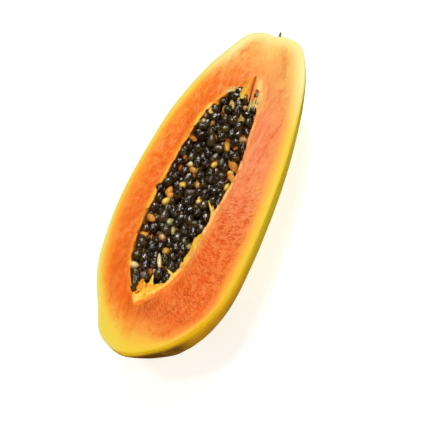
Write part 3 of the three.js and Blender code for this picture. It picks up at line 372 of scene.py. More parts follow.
        (-83.9, 15.3, -2.9, 5.05, 2.61, 12, 16),
        (-68.4, 14.7, -3, 3.46, 2.72, 1, 13),
        (-66.5, 20.8, -7.4, 3.26, 2.67, -14, 14),
        (-80.9, 11.9, -7.7, 3.43, 2.91, 50, 0, 1),
        (-71.3, 16.6, -8.7, 3.48, 2.85, 6, 9, 1),
        (-63.5, 15.6, -10.9, 3.38, 2.98, 46, -16, 1),
    ],
]
UNDEVELOPED = [
    ("orange", -7, 22.7, -4.9, 3.6, 2.22, -4, 5),
    ("orange", -10.6, 20.3, -2.2, 2.4, 1.88, -43, 19),
    ("yellow", -15.9, 21.5, -2.6, 3.26, 2.05, -37, 17),
    ("yellow", -0.4, 15.3, -3.4, 2.95, 2.15, 24, -19),
    ("orange", 3.9, 5.9, -7.1, 3.08, 2.4, -90, 12),
    ("cream", 16.9, 16.7, -3.7, 2.05, 1.91, 1, -11),
    ("gold", 13, 12.4, -4, 3.26, 2.05, 53, 9),
    ("yellow", 20.9, -0.2, -3, 2.57, 1.77, -9, -5),
    ("gold", 37.4, -3, -3.6, 4.64, 1.7, 26, -8),
    ("tan", 45.5, -12.3, -2.4, 3.08, 2.12, -90, -1),
    ("olive", 42.6, -12.4, -5.4, 2.4, 1.57, -79, 1),
    ("gold", 24.6, -13, -5.1, 3.6, 2.19, 53, 9),
    ("yellow", 17.5, -13.7, -3.8, 2.4, 2.05, -67, 6),
    ("yellow", 6.5, -15.7, -3.9, 2.91, 1.84, 1, 8),
    ("yellow", -9.3, -0.9, -4.4, 2.4, 1.84, 1, -5),
    ("olive", -30.1, 12.3, -4.4, 2.6, 2.19, 1, 8),
    ("olive", -36.2, 7.5, -3.9, 3.6, 1.36, 21, -7),
    ("orange", -31.2, 23.5, -2.5, 3.6, 2.05, 57, 5),
    ("orange", -43.9, 23.7, -6, 3.08, 2.26, -67, -2),
    ("tan", -43, 13, -4.4, 3.26, 2.05, 53, 3),
    ("gold", -53.1, 5.3, -3.8, 2.95, 2.4, 20, -21),
    ("cream", -61.9, 6.7, -2.2, 5.5, 1.43, 23, 0),
    ("cream", -69.9, 20.3, -2.9, 2.74, 2.53, -67, -12),
    ("olive", -45.2, -8.6, -4.3, 2.57, 1.84, 1, -5),
    ("tan", 70.7, -3.6, -3.5, 2.05, 1.7, -67, -19),
    ("olive", 52.9, 22.2, -4.9, 2.57, 2.05, -31, 7),
]
RIM_SEED = (-7.6, 28.9, -1.6, 3.22, 2.81, 1, 17)
FLAT_SEED = (83.4, -7.8, -2.2, 3.08, 1.57, 11, -6)

# View frame: T to the right along the fruit's width, S along its length, V to the camera.
VIEW_T = (0.01601, -0.91837, -0.39541)
VIEW_S = (0.90542, -0.15446, 0.39541)
VIEW_V = (-0.42421, -0.36434, 0.82904)
VIEW_RIGHT = (0.38036, -0.90251, -0.20201)
VIEW_UP = (0.82181, 0.22964, 0.52143)
VIEW_ORIGIN = (-6.6, -3.73)  # where the view frame's origin meets the cut plane, mm
VIEW_SCALE = 0.69  # mm per unit of the view frame
VIEW_DISTANCE = 2000.0


# ---------------------------------------------------------------- small maths
def unit(v):
    v = np.asarray(v, float)
    return v / np.linalg.norm(v)


def hashed(i, j, k, seed):
    h = (i * 374761393 + j * 668265263 + k * 2147483647 + seed * 974634777) & 0xFFFFFFFF
    h = (h ^ (h >> 13)) * 1274126177 & 0xFFFFFFFF
    h = (h ^ (h >> 16)) & 0xFFFFFFFF
    return h.astype(np.float64) / 4294967295.0


def noise(p, size, seed=0):
    """Smooth noise in -1..1 with features of about `size`."""
    q = np.asarray(p, float) / size
    i = np.floor(q).astype(np.int64)
    f = q - i
    f = f * f * (3 - 2 * f)
    out = 0
    for a in (0, 1):
        for b in (0, 1):
            for c in (0, 1):
                w = (f[..., 0] if a else 1 - f[..., 0]) * (f[..., 1] if b else 1 - f[..., 1]) * (f[..., 2] if c else 1 - f[..., 2])
                out = out + w * hashed(i[..., 0] + a, i[..., 1] + b, i[..., 2] + c, seed)
    return out * 2 - 1


def fbm(p, size, seed=0, octaves=3, gain=0.5):
    out, amp, tot = 0, 1.0, 0.0
    for o in range(octaves):
        out = out + amp * noise(p, size / 2 ** o, seed + 17 * o)
        tot += amp
        amp *= gain
    return out / tot


def smooth(x, a, b):
    t = np.clip((np.asarray(x, float) - a) / (b - a), 0, 1)
    return t * t * (3 - 2 * t)


def periodic_spline(points, u):
    """Natural periodic cubic through the points; u counts points."""
    P = np.asarray(points, float)
    n = len(P)
    A = np.zeros((n, n))
    for i in range(n):
        A[i, i] = 4
        A[i, (i + 1) % n] += 1
        A[i, (i - 1) % n] += 1
    M = np.linalg.solve(A, 6 * (np.roll(P, -1, 0) - 2 * P + np.roll(P, 1, 0)))
    u = np.asarray(u, float) % n
    i = np.floor(u).astype(int) % n
    f = (u - np.floor(u))[:, None]
    j = (i + 1) % n
    return (M[i] * (1 - f) ** 3 + M[j] * f ** 3) / 6 + (P[i] - M[i] / 6) * (1 - f) + (P[j] - M[j] / 6) * f


def spot(t, s, z):
    """The place at height z over the cut face that the view shows at (t, s)."""
    T, S, V = np.array(VIEW_T), np.array(VIEW_S), np.array(VIEW_V)
    o = np.array([VIEW_ORIGIN[0], VIEW_ORIGIN[1], 0.0])
    c = o + V * VIEW_DISTANCE
    d = o + T * t * VIEW_SCALE + S * s * VIEW_SCALE - c
    k = (z - c[2]) / d[2]
    p = c + k * d
    return np.array([p[0], p[1], p[2] + CUT])


# ---------------------------------------------------------------- mesh helpers
def new_mesh(name, verts, faces, mats, index=None, smooth_shade=True):
    me = bpy.data.meshes.new(name)
    me.from_pydata([tuple(v) for v in np.asarray(verts, float) * MM], [], [tuple(int(i) for i in f) for f in faces])
    for m in mats:
        me.materials.append(m)
    if index is not None:
        me.polygons.foreach_set("material_index", np.asarray(index, dtype=np.int32))
    me.polygons.foreach_set("use_smooth", np.full(len(me.polygons), smooth_shade))
    me.update()
    me.validate()
    o = bpy.data.objects.new(name, me)
    bpy.context.scene.collection.objects.link(o)
    return o


def attribute(o, name, values):
    a = o.data.attributes.new(name, "FLOAT", "POINT")
    a.data.foreach_set("value", np.asarray(values, dtype=np.float32))


def grid_faces(nu, nv, base=0, wrap=False):
    """Quads of a grid with nu x nv points, rows of nv."""
    i, j = np.meshgrid(np.arange(nu - 1), np.arange(nv if wrap else nv - 1), indexing="ij")
    i, j = i.ravel(), j.ravel()
    k = (j + 1) % nv
    return np.stack([base + i * nv + j, base + i * nv + k, base + (i + 1) * nv + k, base + (i + 1) * nv + j], 1)


# ---------------------------------------------------------------- node helpers
class Nodes:
    def __init__(self, name):
        self.mat = bpy.data.materials.new(name)
        self.mat.use_nodes = True
        self.t = self.mat.node_tree
        self.t.nodes.clear()
        self.out = self.t.nodes.new("ShaderNodeOutputMaterial")
        self.p = self.t.nodes.new("ShaderNodeBsdfPrincipled")
        self.t.links.new(self.p.outputs[0], self.out.inputs[0])
        self.co = self.t.nodes.new("ShaderNodeTexCoord").outputs["Object"]

    def link(self, a, b):
        self.t.links.new(a, b)

    def put(self, socket, value):
        if isinstance(value, bpy.types.NodeSocket):
            self.link(value, socket)
        elif isinstance(value, (tuple, list)) and len(value) == 3 and socket.type == "RGBA":
            socket.default_value = (*value, 1)
        else:
            socket.default_value = value

    def attr(self, name):
        n = self.t.nodes.new("ShaderNodeAttribute")
        n.attribute_name = name
        return n.outputs["Fac"]

    def attrv(self, name):
        n = self.t.nodes.new("ShaderNodeAttribute")
        n.attribute_name = name
        return n.outputs["Vector"]

    def stretch(self, sx, sy, sz, rot=(0, 0, 0), shift=(0, 0, 0), co=None):
        n = self.t.nodes.new("ShaderNodeMapping")
        n.inputs["Scale"].default_value = (sx, sy, sz)
        n.inputs["Rotation"].default_value = rot
        n.inputs["Location"].default_value = shift
        self.link(co or self.co, n.inputs[0])
        return n.outputs[0]

    def noise(self, scale, detail=3.0, rough=0.5, distort=0.0, co=None):
        n = self.t.nodes.new("ShaderNodeTexNoise")
        n.inputs["Scale"].default_value = scale
        n.inputs["Detail"].default_value = detail
        n.inputs["Roughness"].default_value = rough
        n.inputs["Distortion"].default_value = distort
        self.link(co or self.co, n.inputs["Vector"])
        return n.outputs["Fac"]

    def voronoi(self, scale, feature="F1", co=None, random=1.0):
        n = self.t.nodes.new("ShaderNodeTexVoronoi")
        n.feature = feature
        n.inputs["Scale"].default_value = scale
        n.inputs["Randomness"].default_value = random
        self.link(co or self.co, n.inputs["Vector"])
        return n.outputs["Distance"]

    def ramp(self, fac, stops, mode="LINEAR"):
        n = self.t.nodes.new("ShaderNodeValToRGB")
        n.color_ramp.interpolation = mode
        e = n.color_ramp.elements
        while len(e) > 1:
            e.remove(e[-1])
        e[0].position = stops[0][0]
        e[0].color = (*stops[0][1], 1) if isinstance(stops[0][1], tuple) else (stops[0][1],) * 3 + (1,)
        for pos, c in stops[1:]:
            k = e.new(pos)
            k.color = (*c, 1) if isinstance(c, tuple) else (c, c, c, 1)
        self.put(n.inputs[0], fac)
        return n.outputs[0]

    def span(self, fac, a, b, lo=0.0, hi=1.0, kind="SMOOTHSTEP"):
        n = self.t.nodes.new("ShaderNodeMapRange")
        n.interpolation_type = kind
        n.clamp = True
        for k, v in (("From Min", a), ("From Max", b), ("To Min", lo), ("To Max", hi)):
            n.inputs[k].default_value = v
        self.put(n.inputs["Value"], fac)
        return n.outputs["Result"]

    def mix(self, fac, a, b, mode="MIX"):
        n = self.t.nodes.new("ShaderNodeMix")
        n.data_type = "RGBA"
        n.blend_type = mode
        n.clamp_factor = True
        self.put(n.inputs[0], fac)
        self.put(n.inputs[6], a)
        self.put(n.inputs[7], b)
        return n.outputs[2]

    def math(self, op, a, b=None, clamp=False):
        n = self.t.nodes.new("ShaderNodeMath")
        n.operation = op
        n.use_clamp = clamp
        self.put(n.inputs[0], a)
        if b is not None:
            self.put(n.inputs[1], b)
        return n.outputs[0]

    def bump(self, height, strength, distance, normal=None):
        n = self.t.nodes.new("ShaderNodeBump")
        n.inputs["Strength"].default_value = strength
        n.inputs["Distance"].default_value = distance
        self.put(n.inputs["Height"], height)
        if normal is not None:
            self.link(normal, n.inputs["Normal"])
        return n.outputs[0]

    def finish(self, **sockets):
        for k, v in sockets.items():
            self.put(self.p.inputs[k.replace("_", " ")], v)
        return self.mat


def rgb(r, g, b):
    """Screen colour 0..255 to linear."""
    def f(c):
        c /= 255.0
        return c / 12.92 if c <= 0.04045 else ((c + 0.055) / 1.055) ** 2.4
    return (f(r), f(g), f(b))


# ---------------------------------------------------------------- materials
def flesh_material():
    m = Nodes("papaya_flesh")
    d = m.attr("rim_mm")  # distance from the skin, 45 mm = 1
    c = m.attr("cavity_mm")  # distance from the cavity edge, 45 mm = 1
    grain = m.attrv("grain")  # round the rim, round the rim, inwards
    crinkle = m.math("MULTIPLY", m.attr("crinkle"), m.span(d, 0.13, 0.25))
    k = 1 / 45.0
    # the distance is disturbed a little, so that no band is even
    wob = m.noise(60.0, 4.0, 0.6, 0.4)
    near = m.math("MULTIPLY", d, m.math("SUBTRACT", 1.0, m.math("MULTIPLY", m.attr("nose"), 0.42)))
    near = m.math("MULTIPLY", near, m.math("ADD", 1.0, m.attr("narrow")))
    near = m.math("SUBTRACT", near, m.attr("band"))
    dw = m.math("ADD", near, m.math("MULTIPLY", m.math("SUBTRACT", wob, 0.5), m.span(d, 0.0, 0.25, 0.01, 0.10)))
    left = m.ramp(dw, [(0.0, rgb(236, 210, 84)), (0.9 * k, rgb(240, 208, 70)), (2.3 * k, rgb(248, 189, 60)), (4.0 * k, rgb(248, 160, 50)),
                       (6.0 * k, rgb(251, 145, 38)), (9.0 * k, rgb(249, 131, 24)), (13.0 * k, rgb(246, 119, 14)), (20 * k, rgb(241, 106, 10))])
    upper = m.ramp(dw, [(0.0, rgb(214, 198, 60)), (1.5 * k, rgb(245, 211, 68)), (4.2 * k, rgb(250, 196, 70)), (7.5 * k, rgb(251, 171, 76)), (12.0 * k, rgb(249, 154, 86)),
                        (17.0 * k, rgb(247, 142, 88)), (23 * k, rgb(247, 143, 92)), (32 * k, rgb(247, 147, 88))])
    lower = m.ramp(dw, [(0.0, rgb(222, 190, 40)), (1.3 * k, rgb(244, 199, 48)), (4.0 * k, rgb(249, 189, 56)), (7.0 * k, rgb(249, 168, 60)), (10.0 * k, rgb(247, 148, 48)),
                        (14.0 * k, rgb(247, 130, 48)), (20 * k, rgb(243, 113, 38)), (34 * k, rgb(242, 107, 28))])
    stemc = m.ramp(dw, [(0.0, rgb(222, 222, 146)), (1.2 * k, rgb(247, 240, 160)), (5.0 * k, rgb(252, 226, 142)), (9.0 * k, rgb(251, 203, 110)),
                        (13 * k, rgb(252, 193, 100)), (20 * k, rgb(252, 177, 89)), (32 * k, rgb(251, 165, 83))])
    tipc = m.ramp(dw, [(0.0, rgb(238, 206, 66)), (1.5 * k, rgb(238, 210, 68)), (3.4 * k, rgb(247, 205, 70)), (6.0 * k, rgb(249, 188, 62)),
                       (9.0 * k, rgb(248, 158, 46)), (12.5 * k, rgb(246, 136, 32)), (18 * k, rgb(243, 119, 22)), (26 * k, rgb(241, 107, 16))])
    tipr = m.ramp(dw, [(0.0, rgb(238, 206, 60)), (1.5 * k, rgb(240, 207, 64)), (3.4 * k, rgb(247, 203, 66)), (6.0 * k, rgb(249, 186, 62)),
                       (9.5 * k, rgb(248, 167, 60)), (14 * k, rgb(247, 150, 58)), (20 * k, rgb(244, 134, 50)), (28 * k, rgb(242, 118, 38))])
    tipc = m.mix(m.attr("side"), tipr, tipc)
    right = m.mix(m.attr("lower"), upper, lower)
    left = m.mix(m.math("MULTIPLY", m.math("MULTIPLY", m.span(dw, 6.0 * k, 13.0 * k), m.attr("lower")), 0.5), left, rgb(240, 92, 6))
    col = m.mix(m.attr("side"), right, left)
    col = m.mix(m.attr("stem"), col, stemc)
    col = m.mix(m.attr("tip"), col, tipc)
    inner = m.math("ADD", m.math("MULTIPLY", m.span(dw, 3.4 * k, 8.5 * k), m.attr("side")), m.math("MULTIPLY", m.span(dw, 6.5 * k, 15.0 * k), m.math("SUBTRACT", 1.0, m.attr("side"))))
    goldtip = m.math("MULTIPLY", m.span(dw, 6.0 * k, 1.5 * k), m.math("MULTIPLY", m.attr("tip"), m.math("SUBTRACT", 1.0, m.attr("side"))))
    col = m.mix(m.math("MULTIPLY", goldtip, 0.5), col, rgb(248, 196, 54))
    golden = m.math("MULTIPLY", m.span(d, 2.2 * k, 0.0), m.math("SUBTRACT", 1.0, m.math("MAXIMUM", m.attr("side"), m.attr("stem"))))
    col = m.mix(m.math("MULTIPLY", golden, 0.85), col, m.mix(m.attr("narrow"), rgb(240, 196, 40), rgb(247, 174, 34)))
    col = m.mix(m.math("MULTIPLY", m.math("MULTIPLY", m.span(d, 3.6 * k, 0.2 * k), m.attr("rimlight")), 0.7), col, rgb(243, 226, 146))
    pink = m.math("MULTIPLY", m.math("SUBTRACT", 1.0, m.attr("side")), m.math("SUBTRACT", 1.0, m.attr("lower")))
    deepc = m.mix(pink, rgb(238, 92, 6), rgb(236, 104, 58))
    palec = m.mix(pink, m.mix(m.attr("lower"), rgb(255, 162, 80), rgb(253, 148, 66)), rgb(254, 166, 106))
    # redder and paler clouds
    cloud = m.noise(42.0, 4.0, 0.62, 0.6)
    col = m.mix(m.math("MULTIPLY", m.math("MULTIPLY", m.span(cloud, 0.48, 0.72), inner), 0.30), col, deepc)
    pale = m.noise(58.0, 3.0, 0.5, 0.3, m.stretch(0.55, 1.0, 1.0, (0, 0, 0.1), (3.1, 0, 0)))
    col = m.mix(m.math("MULTIPLY", m.math("MULTIPLY", m.span(pale, 0.52, 0.78), inner), 0.24), col, palec)
    ease = m.math("SUBTRACT", 1.0, m.attr("stem"))
    blot = m.noise(125.0, 3.0, 0.6, 0.9, m.stretch(0.8, 0.8, 1.0, (0, 0, 0), (5, 1, 8), co=grain))
    col = m.mix(m.math("MULTIPLY", m.math("MULTIPLY", m.span(blot, 0.53, 0.64), m.math("MULTIPLY", inner, m.math("ADD", 0.4, m.math("MULTIPLY", ease, 0.6)))), 0.50), col, deepc)
    col = m.mix(m.math("MULTIPLY", m.math("MULTIPLY", m.span(blot, 0.47, 0.36), m.math("MULTIPLY", inner, m.math("ADD", 0.5, m.math("MULTIPLY", ease, 0.5)))), 0.46), col, palec)
    mottle = m.noise(250.0, 3.0, 0.6, 0.8, m.stretch(0.45, 0.45, 1.0, (0, 0, 0), (1, 2, 3), co=grain))
    much = m.math("MULTIPLY", inner, m.math("MULTIPLY", m.math("ADD", 0.15, m.math("MULTIPLY", ease, 0.85)), m.math("SUBTRACT", 1.0, m.math("MULTIPLY", m.attr("side"), 0.5))))
    col = m.mix(m.math("MULTIPLY", m.math("MULTIPLY", m.span(mottle, 0.53, 0.63), much), 0.46), col, deepc)
    col = m.mix(m.math("MULTIPLY", m.math("MULTIPLY", m.span(mottle, 0.47, 0.36), much), 0.42), col, palec)
    soft = m.noise(200.0, 3.0, 0.66, 0.3, m.stretch(0.9, 1.0, 1.0, (0, 0, 0), (2, 9, 4)))
    dab = m.math("MULTIPLY", inner, m.math("MULTIPLY", m.attr("side"), m.span(m.noise(52.0, 2.0, 0.5, 0.0), 0.34, 0.60, 0.45, 1.0)))
    col = m.mix(m.math("MULTIPLY", m.math("MULTIPLY", m.span(soft, 0.52, 0.62), dab), 0.50), col, rgb(238, 94, 14))
    col = m.mix(m.math("MULTIPLY", m.math("MULTIPLY", m.span(soft, 0.48, 0.37), dab), 0.55), col, m.mix(m.attr("lower"), rgb(255, 166, 96), rgb(252, 146, 64)))
    # fibres that run along the fruit, following the rim
    fibre = m.noise(300.0, 4.0, 0.62, 0.6, m.stretch(0.16, 0.16, 1.0, co=grain))
    ease = m.math("MULTIPLY", ease, m.math("SUBTRACT", 1.0, m.math("MULTIPLY", m.attr("side"), 0.75)))
    col = m.mix(m.math("MULTIPLY", m.math("MULTIPLY", m.span(fibre, 0.53, 0.70), m.math("MULTIPLY", inner, ease)), 0.34), col, deepc)
    col = m.mix(m.math("MULTIPLY", m.math("MULTIPLY", m.span(fibre, 0.47, 0.32), m.math("MULTIPLY", inner, ease)), 0.20), col, palec)
    # crinkled cut tissue: short wavy strands from the cavity outwards, with their own tone; the crests are painted
    # lighter as painted highlight and the folds between painted darker as painted shade
    warp = m.noise(110.0, 2.0, 0.5, 0.0)
    slant = m.attrv("slant")
    fold = m.noise(700.0, 2.0, 0.55, 0.8, m.stretch(1.0, 1.0, 0.44, co=slant))
    fold2 = m.noise(620.0, 2.0, 0.55, 1.2, m.stretch(1.0, 1.0, 0.50, (0, 0, 0), (4, 7, 2), co=slant))
    which = m.span(warp, 0.46, 0.54)
    ridge = m.math("ADD", m.math("MULTIPLY", fold, which), m.math("MULTIPLY", fold2, m.math("SUBTRACT", 1.0, which)))
    amount = m.math("MULTIPLY", crinkle, m.span(m.noise(85.0, 3.0, 0.6, 0.5), 0.36, 0.58, 0.62, 1.0))
    # painted highlight on the ridges, painted shade in the folds, darkest in the middle of the folds
    painted_crest_light = m.math("MULTIPLY", m.span(ridge, 0.51, 0.58), amount)
    painted_fold_shade = m.math("MULTIPLY", m.span(ridge, 0.485, 0.42), amount)
    col = m.mix(m.math("MULTIPLY", painted_crest_light, 0.66), col, m.mix(m.attr("side"), m.mix(m.attr("lower"), rgb(255, 160, 112), rgb(253, 138, 70)), rgb(255, 156, 74)))
    col = m.mix(m.math("MULTIPLY", painted_fold_shade, 0.66), col, rgb(222, 76, 12))
    col = m.mix(m.math("MULTIPLY", m.math("MULTIPLY", m.span(ridge, 0.41, 0.34), amount), 0.42), col, rgb(196, 56, 6))
    # long darker veins, and one painted shadow line along the left edge of the stem tissue
    vein_and_shadow_line = m.math("MULTIPLY", m.attr("vein_and_shadow_line"), m.span(m.noise(260.0, 3.0, 0.6, 1.0), 0.34, 0.60))
    col = m.mix(m.math("MULTIPLY", vein_and_shadow_line, 0.75), col, rgb(232, 80, 22))
    yellowing = m.math("MULTIPLY", m.attr("pale_vein"), m.span(m.noise(190.0, 3.0, 0.6, 0.8, m.stretch(0.25, 1, 1)), 0.30, 0.62))
    col = m.mix(m.math("MULTIPLY", yellowing, 0.7), col, rgb(255, 214, 118))
    # lining round the cavity
    lin = m.attr("lining")
    edge = m.math("ADD", c, m.math("MULTIPLY", m.math("SUBTRACT", m.noise(190.0, 3.0, 0.6, 0.5), 0.5), 0.05))
    col = m.mix(m.math("MULTIPLY", m.span(edge, 0.17, 0.03), m.attr("strip")), col, rgb(252, 160, 70))
    col = m.mix(m.math("MULTIPLY", m.span(edge, 0.060, 0.012), lin), col, m.mix(m.attr("side"), m.mix(m.attr("lower"), rgb(253, 168, 100), rgb(252, 158, 64)), rgb(244, 142, 34)))
    col = m.mix(m.math("MULTIPLY", m.span(edge, 0.024, 0.006), m.math("MULTIPLY", lin, 0.6)), col, m.mix(m.attr("side"), m.mix(m.attr("lower"), rgb(255, 192, 136), rgb(254, 192, 112)), rgb(250, 168, 62)))
    rough = m.span(m.noise(420.0, 3.0, 0.6), 0.3, 0.7, 0.36, 0.54, "LINEAR")
    tissue = m.bump(m.math("MULTIPLY", ridge, amount), 0.7, 0.0019)
    fine = m.bump(m.noise(1000.0, 3.0, 0.6, 0.6), 0.22, 0.0003, tissue)
    mid = m.bump(m.math("MULTIPLY", fibre, ease), 0.3, 0.0009, fine)
    big = m.bump(m.noise(150.0, 4.0, 0.55, 0.3), 0.35, 0.0016, mid)
    m.p.subsurface_method = "RANDOM_WALK"
    return m.finish(Base_Color=col, Roughness=rough, Subsurface_Weight=0.12, Subsurface_Radius=(1.0, 0.35, 0.08), Subsurface_Scale=0.0015,
                    Specular_IOR_Level=0.18, Specular_Tint=(1.0, 0.78, 0.42, 1.0), Coat_Weight=0.02, Coat_Roughness=0.15, IOR=1.4, Normal=big)


def skin_material():
    m = Nodes("papaya_skin")
    edge = m.attr("rim_mm")  # depth under the cut face, 45 mm = 1
    green = m.attr("green")  # 1 towards the stem end
    k = 1 / 45.0
    clouds = m.noise(18.0, 4.0, 0.6, 0.5)
    fine = m.noise(110.0, 4.0, 0.6, 0.4)
    e = m.math("ADD", edge, m.math("MULTIPLY", m.math("SUBTRACT", m.noise(45.0, 4.0, 0.6, 0.4), 0.5), 0.10))
    # the skin's own golden yellow at the rim, painted darker and browner with depth below the cut face as painted shade
    # towards the underside
    base = m.ramp(e, [(0.0, rgb(242, 200, 30)), (2.5 * k, rgb(230, 180, 10)), (6 * k, rgb(198, 141, 3)), (11 * k, rgb(168, 117, 3)), (20 * k, rgb(150, 112, 4)), (34 * k, rgb(146, 118, 11))])
    base = m.mix(m.math("MULTIPLY", m.span(clouds, 0.42, 0.68), 0.35), base, rgb(204, 146, 6))
    base = m.mix(m.math("MULTIPLY", m.span(fine, 0.5, 0.75), 0.25), base, rgb(218, 150, 8))
    g = m.math("ADD", green, m.math("MULTIPLY", m.math("SUBTRACT", m.noise(24.0, 5.0, 0.62, 0.8), 0.5), 1.4))
    base = m.mix(m.span(g, 0.44, 0.82), base, rgb(142, 150, 34))
    base = m.mix(m.span(g, 0.74, 1.2), base, rgb(78, 122, 26))
    # streaks along the fruit where green turns to yellow
    streak = m.noise(120.0, 4.0, 0.6, 0.4, m.stretch(0.12, 1.0, 1.0))
    base = m.mix(m.math("MULTIPLY", m.span(streak, 0.54, 0.75), m.span(g, 0.2, 0.7, 0.05, 0.4)), base, rgb(108, 136, 30))
    base = m.mix(m.math("MULTIPLY", m.attr("olive"), 0.75), base, rgb(172, 156, 13))
    # painted shade: brown darkening low on the -Y side of the blossom end, where shade falls near the floor
    base = m.mix(m.math("MULTIPLY", m.attr("blossom_shade"), m.span(m.noise(70.0, 4.0, 0.65, 0.6), 0.26, 0.56, 0.66, 1.0)), base, rgb(96, 60, 6))
    # pale pores and tiny brown dots
    pore = m.voronoi(620.0)
    base = m.mix(m.math("MULTIPLY", m.span(pore, 0.16, 0.05), 0.22), base, rgb(240, 206, 60))
    dots = m.voronoi(170.0, co=m.stretch(1, 1, 1, (0.3, 0.2, 0.1)))
    sel = m.span(m.noise(60.0, 2.0, 0.5, 0.0, m.stretch(1, 1, 1, (0, 0, 0), (7, 3, 1))), 0.56, 0.68)
    base = m.mix(m.math("MULTIPLY", m.math("MULTIPLY", m.span(dots, 0.17, 0.07), sel), 0.65), base, rgb(120, 74, 18))
    # scuffs and bruises
    scuff = m.noise(34.0, 6.0, 0.68, 1.2, m.stretch(0.6, 1, 1, (0.5, 0.3, 0.9)))
    blem = m.math("MULTIPLY", m.span(scuff, 0.60, 0.74), m.attr("blemish"))
    base = m.mix(m.math("MULTIPLY", blem, 0.75), base, rgb(120, 74, 16))
    # cork round the stem and the blossom scar
    cork = m.attr("cork")
    corkn = m.mix(m.span(m.noise(260.0, 4.0, 0.6, 0.5), 0.35, 0.7), rgb(178, 152, 122), rgb(112, 88, 58))
    base = m.mix(cork, base, corkn)
    rough = m.span(m.noise(210.0, 4.0, 0.6), 0.3, 0.7, 0.48, 0.64, "LINEAR")
    b1 = m.bump(m.noise(700.0, 3.0, 0.6), 0.16, 0.0004)
    b2 = m.bump(m.span(pore, 0.2, 0.04), 0.10, 0.0003, b1)
    b3 = m.bump(m.noise(70.0, 4.0, 0.55, 0.2, m.stretch(0.5, 1, 1)), 0.30, 0.0022, b2)
    b4 = m.bump(m.math("MULTIPLY", m.math("ADD", blem, cork), m.noise(380.0, 4.0, 0.65)), 0.6, 0.0006, b3)
    return m.finish(Base_Color=base, Roughness=rough, Specular_IOR_Level=0.05, Specular_Tint=(1.0, 0.74, 0.2, 1.0), Coat_Weight=0.0, Coat_Roughness=0.3, IOR=1.4, Normal=b4)


def lining_material():
    m = Nodes("cavity_lining")
    deep = m.attr("depth")  # 1 at the bottom of the cavity
    n = m.noise(90.0, 5.0, 0.62, 0.7)
    col = m.mix(m.span(n, 0.35, 0.68), rgb(255, 172, 48), rgb(250, 138, 34))
    col = m.mix(m.math("MULTIPLY", m.span(m.noise(300.0, 4.0, 0.6, 1.0, m.stretch(0.3, 1, 1)), 0.50, 0.68), 0.6), col, rgb(255, 214, 112))
    # painted shade: the lining turns dark red-brown deeper in the cavity, where shade falls
    col = m.mix(m.span(deep, 0.34, 0.85), col, rgb(140, 50, 12))
    b1 = m.bump(m.noise(300.0, 4.0, 0.6, 0.8, m.stretch(0.4, 1, 1)), 0.5, 0.0012)
    b2 = m.bump(n, 0.6, 0.003, b1)
    m.p.subsurface_method = "RANDOM_WALK"
    return m.finish(Base_Color=col, Roughness=m.span(n, 0.3, 0.7, 0.26, 0.42, "LINEAR"), Subsurface_Weight=0.3, Subsurface_Radius=(1.0, 0.5, 0.15),
                    Subsurface_Scale=0.004, Specular_IOR_Level=0.3, Coat_Weight=0.15, Coat_Roughness=0.15, IOR=1.38, Normal=b2)


def seed_material():
    m = Nodes("ripe_seed_gel")
    tint = m.attr("tint")
    low = m.attr("low")
    under = m.attr("under")
    glow = m.attr("glow")  # where the gel gathers light, away from the top
    n = m.noise(700.0, 4.0, 0.6, 0.6)
    w = m.noise(360.0, 3.0, 0.55, 0.6)
    col = m.mix(m.span(n, 0.36, 0.66), rgb(15, 9, 3), rgb(46, 30, 10))
    gel = m.noise(290.0, 3.0, 0.6, 1.0, m.stretch(1, 1, 1, (0, 0, 0), (6, 2, 5)))
    col = m.mix(m.math("MULTIPLY", m.span(gel, 0.54, 0.70), 0.40), col, rgb(100, 66, 22))
    col = m.mix(m.math("MULTIPLY", m.span(gel, 0.47, 0.35), 0.6), col, rgb(17, 9, 4))
    col = m.mix(m.span(tint, 0.6, 1.0, 0.0, 0.38), col, rgb(94, 70, 32))
    col = m.mix(m.span(tint, 0.40, 0.0, 0.0, 0.7), col, rgb(46, 22, 6))
    col = m.mix(m.math("MULTIPLY", m.attr("warm"), m.span(w, 0.25, 0.6, 0.45, 1.0)), col, rgb(118, 58, 16))
    col = m.mix(m.math("MULTIPLY", glow, m.span(w, 0.25, 0.6, 0.0, 0.75)), col, rgb(108, 86, 46))
    # painted shade: the lower part of each seed turns dark brown, in patches amber, as the warm shade between the seeds
    col = m.mix(m.math("MULTIPLY", m.span(under, 0.40, 1.0), 0.75), col, m.mix(m.span(w, 0.42, 0.62), rgb(36, 17, 6), rgb(122, 60, 14)))
    # painted shade: seeds of the lower layer and the plain fillers are darkened towards near-black as shade deep in the
    # pile; the rim seed gets the same darkening as its own darker colour
    col = m.mix(m.math("MULTIPLY", low, 0.85), col, rgb(22, 11, 5))
    b1 = m.bump(m.voronoi(620.0, "SMOOTH_F1"), 0.6, 0.0006)
    b2 = m.bump(w, 0.7, 0.0012, b1)
    m.link(b2, m.p.inputs["Coat Normal"])
    return m.finish(Base_Color=col, Roughness=m.span(n, 0.3, 0.7, 0.30, 0.44, "LINEAR"), Specular_IOR_Level=0.22, Specular_Tint=(1.0, 0.84, 0.58, 1.0), Coat_Weight=1.0, Coat_Roughness=0.05,
                    Coat_IOR=1.88, IOR=1.45, Normal=b2)


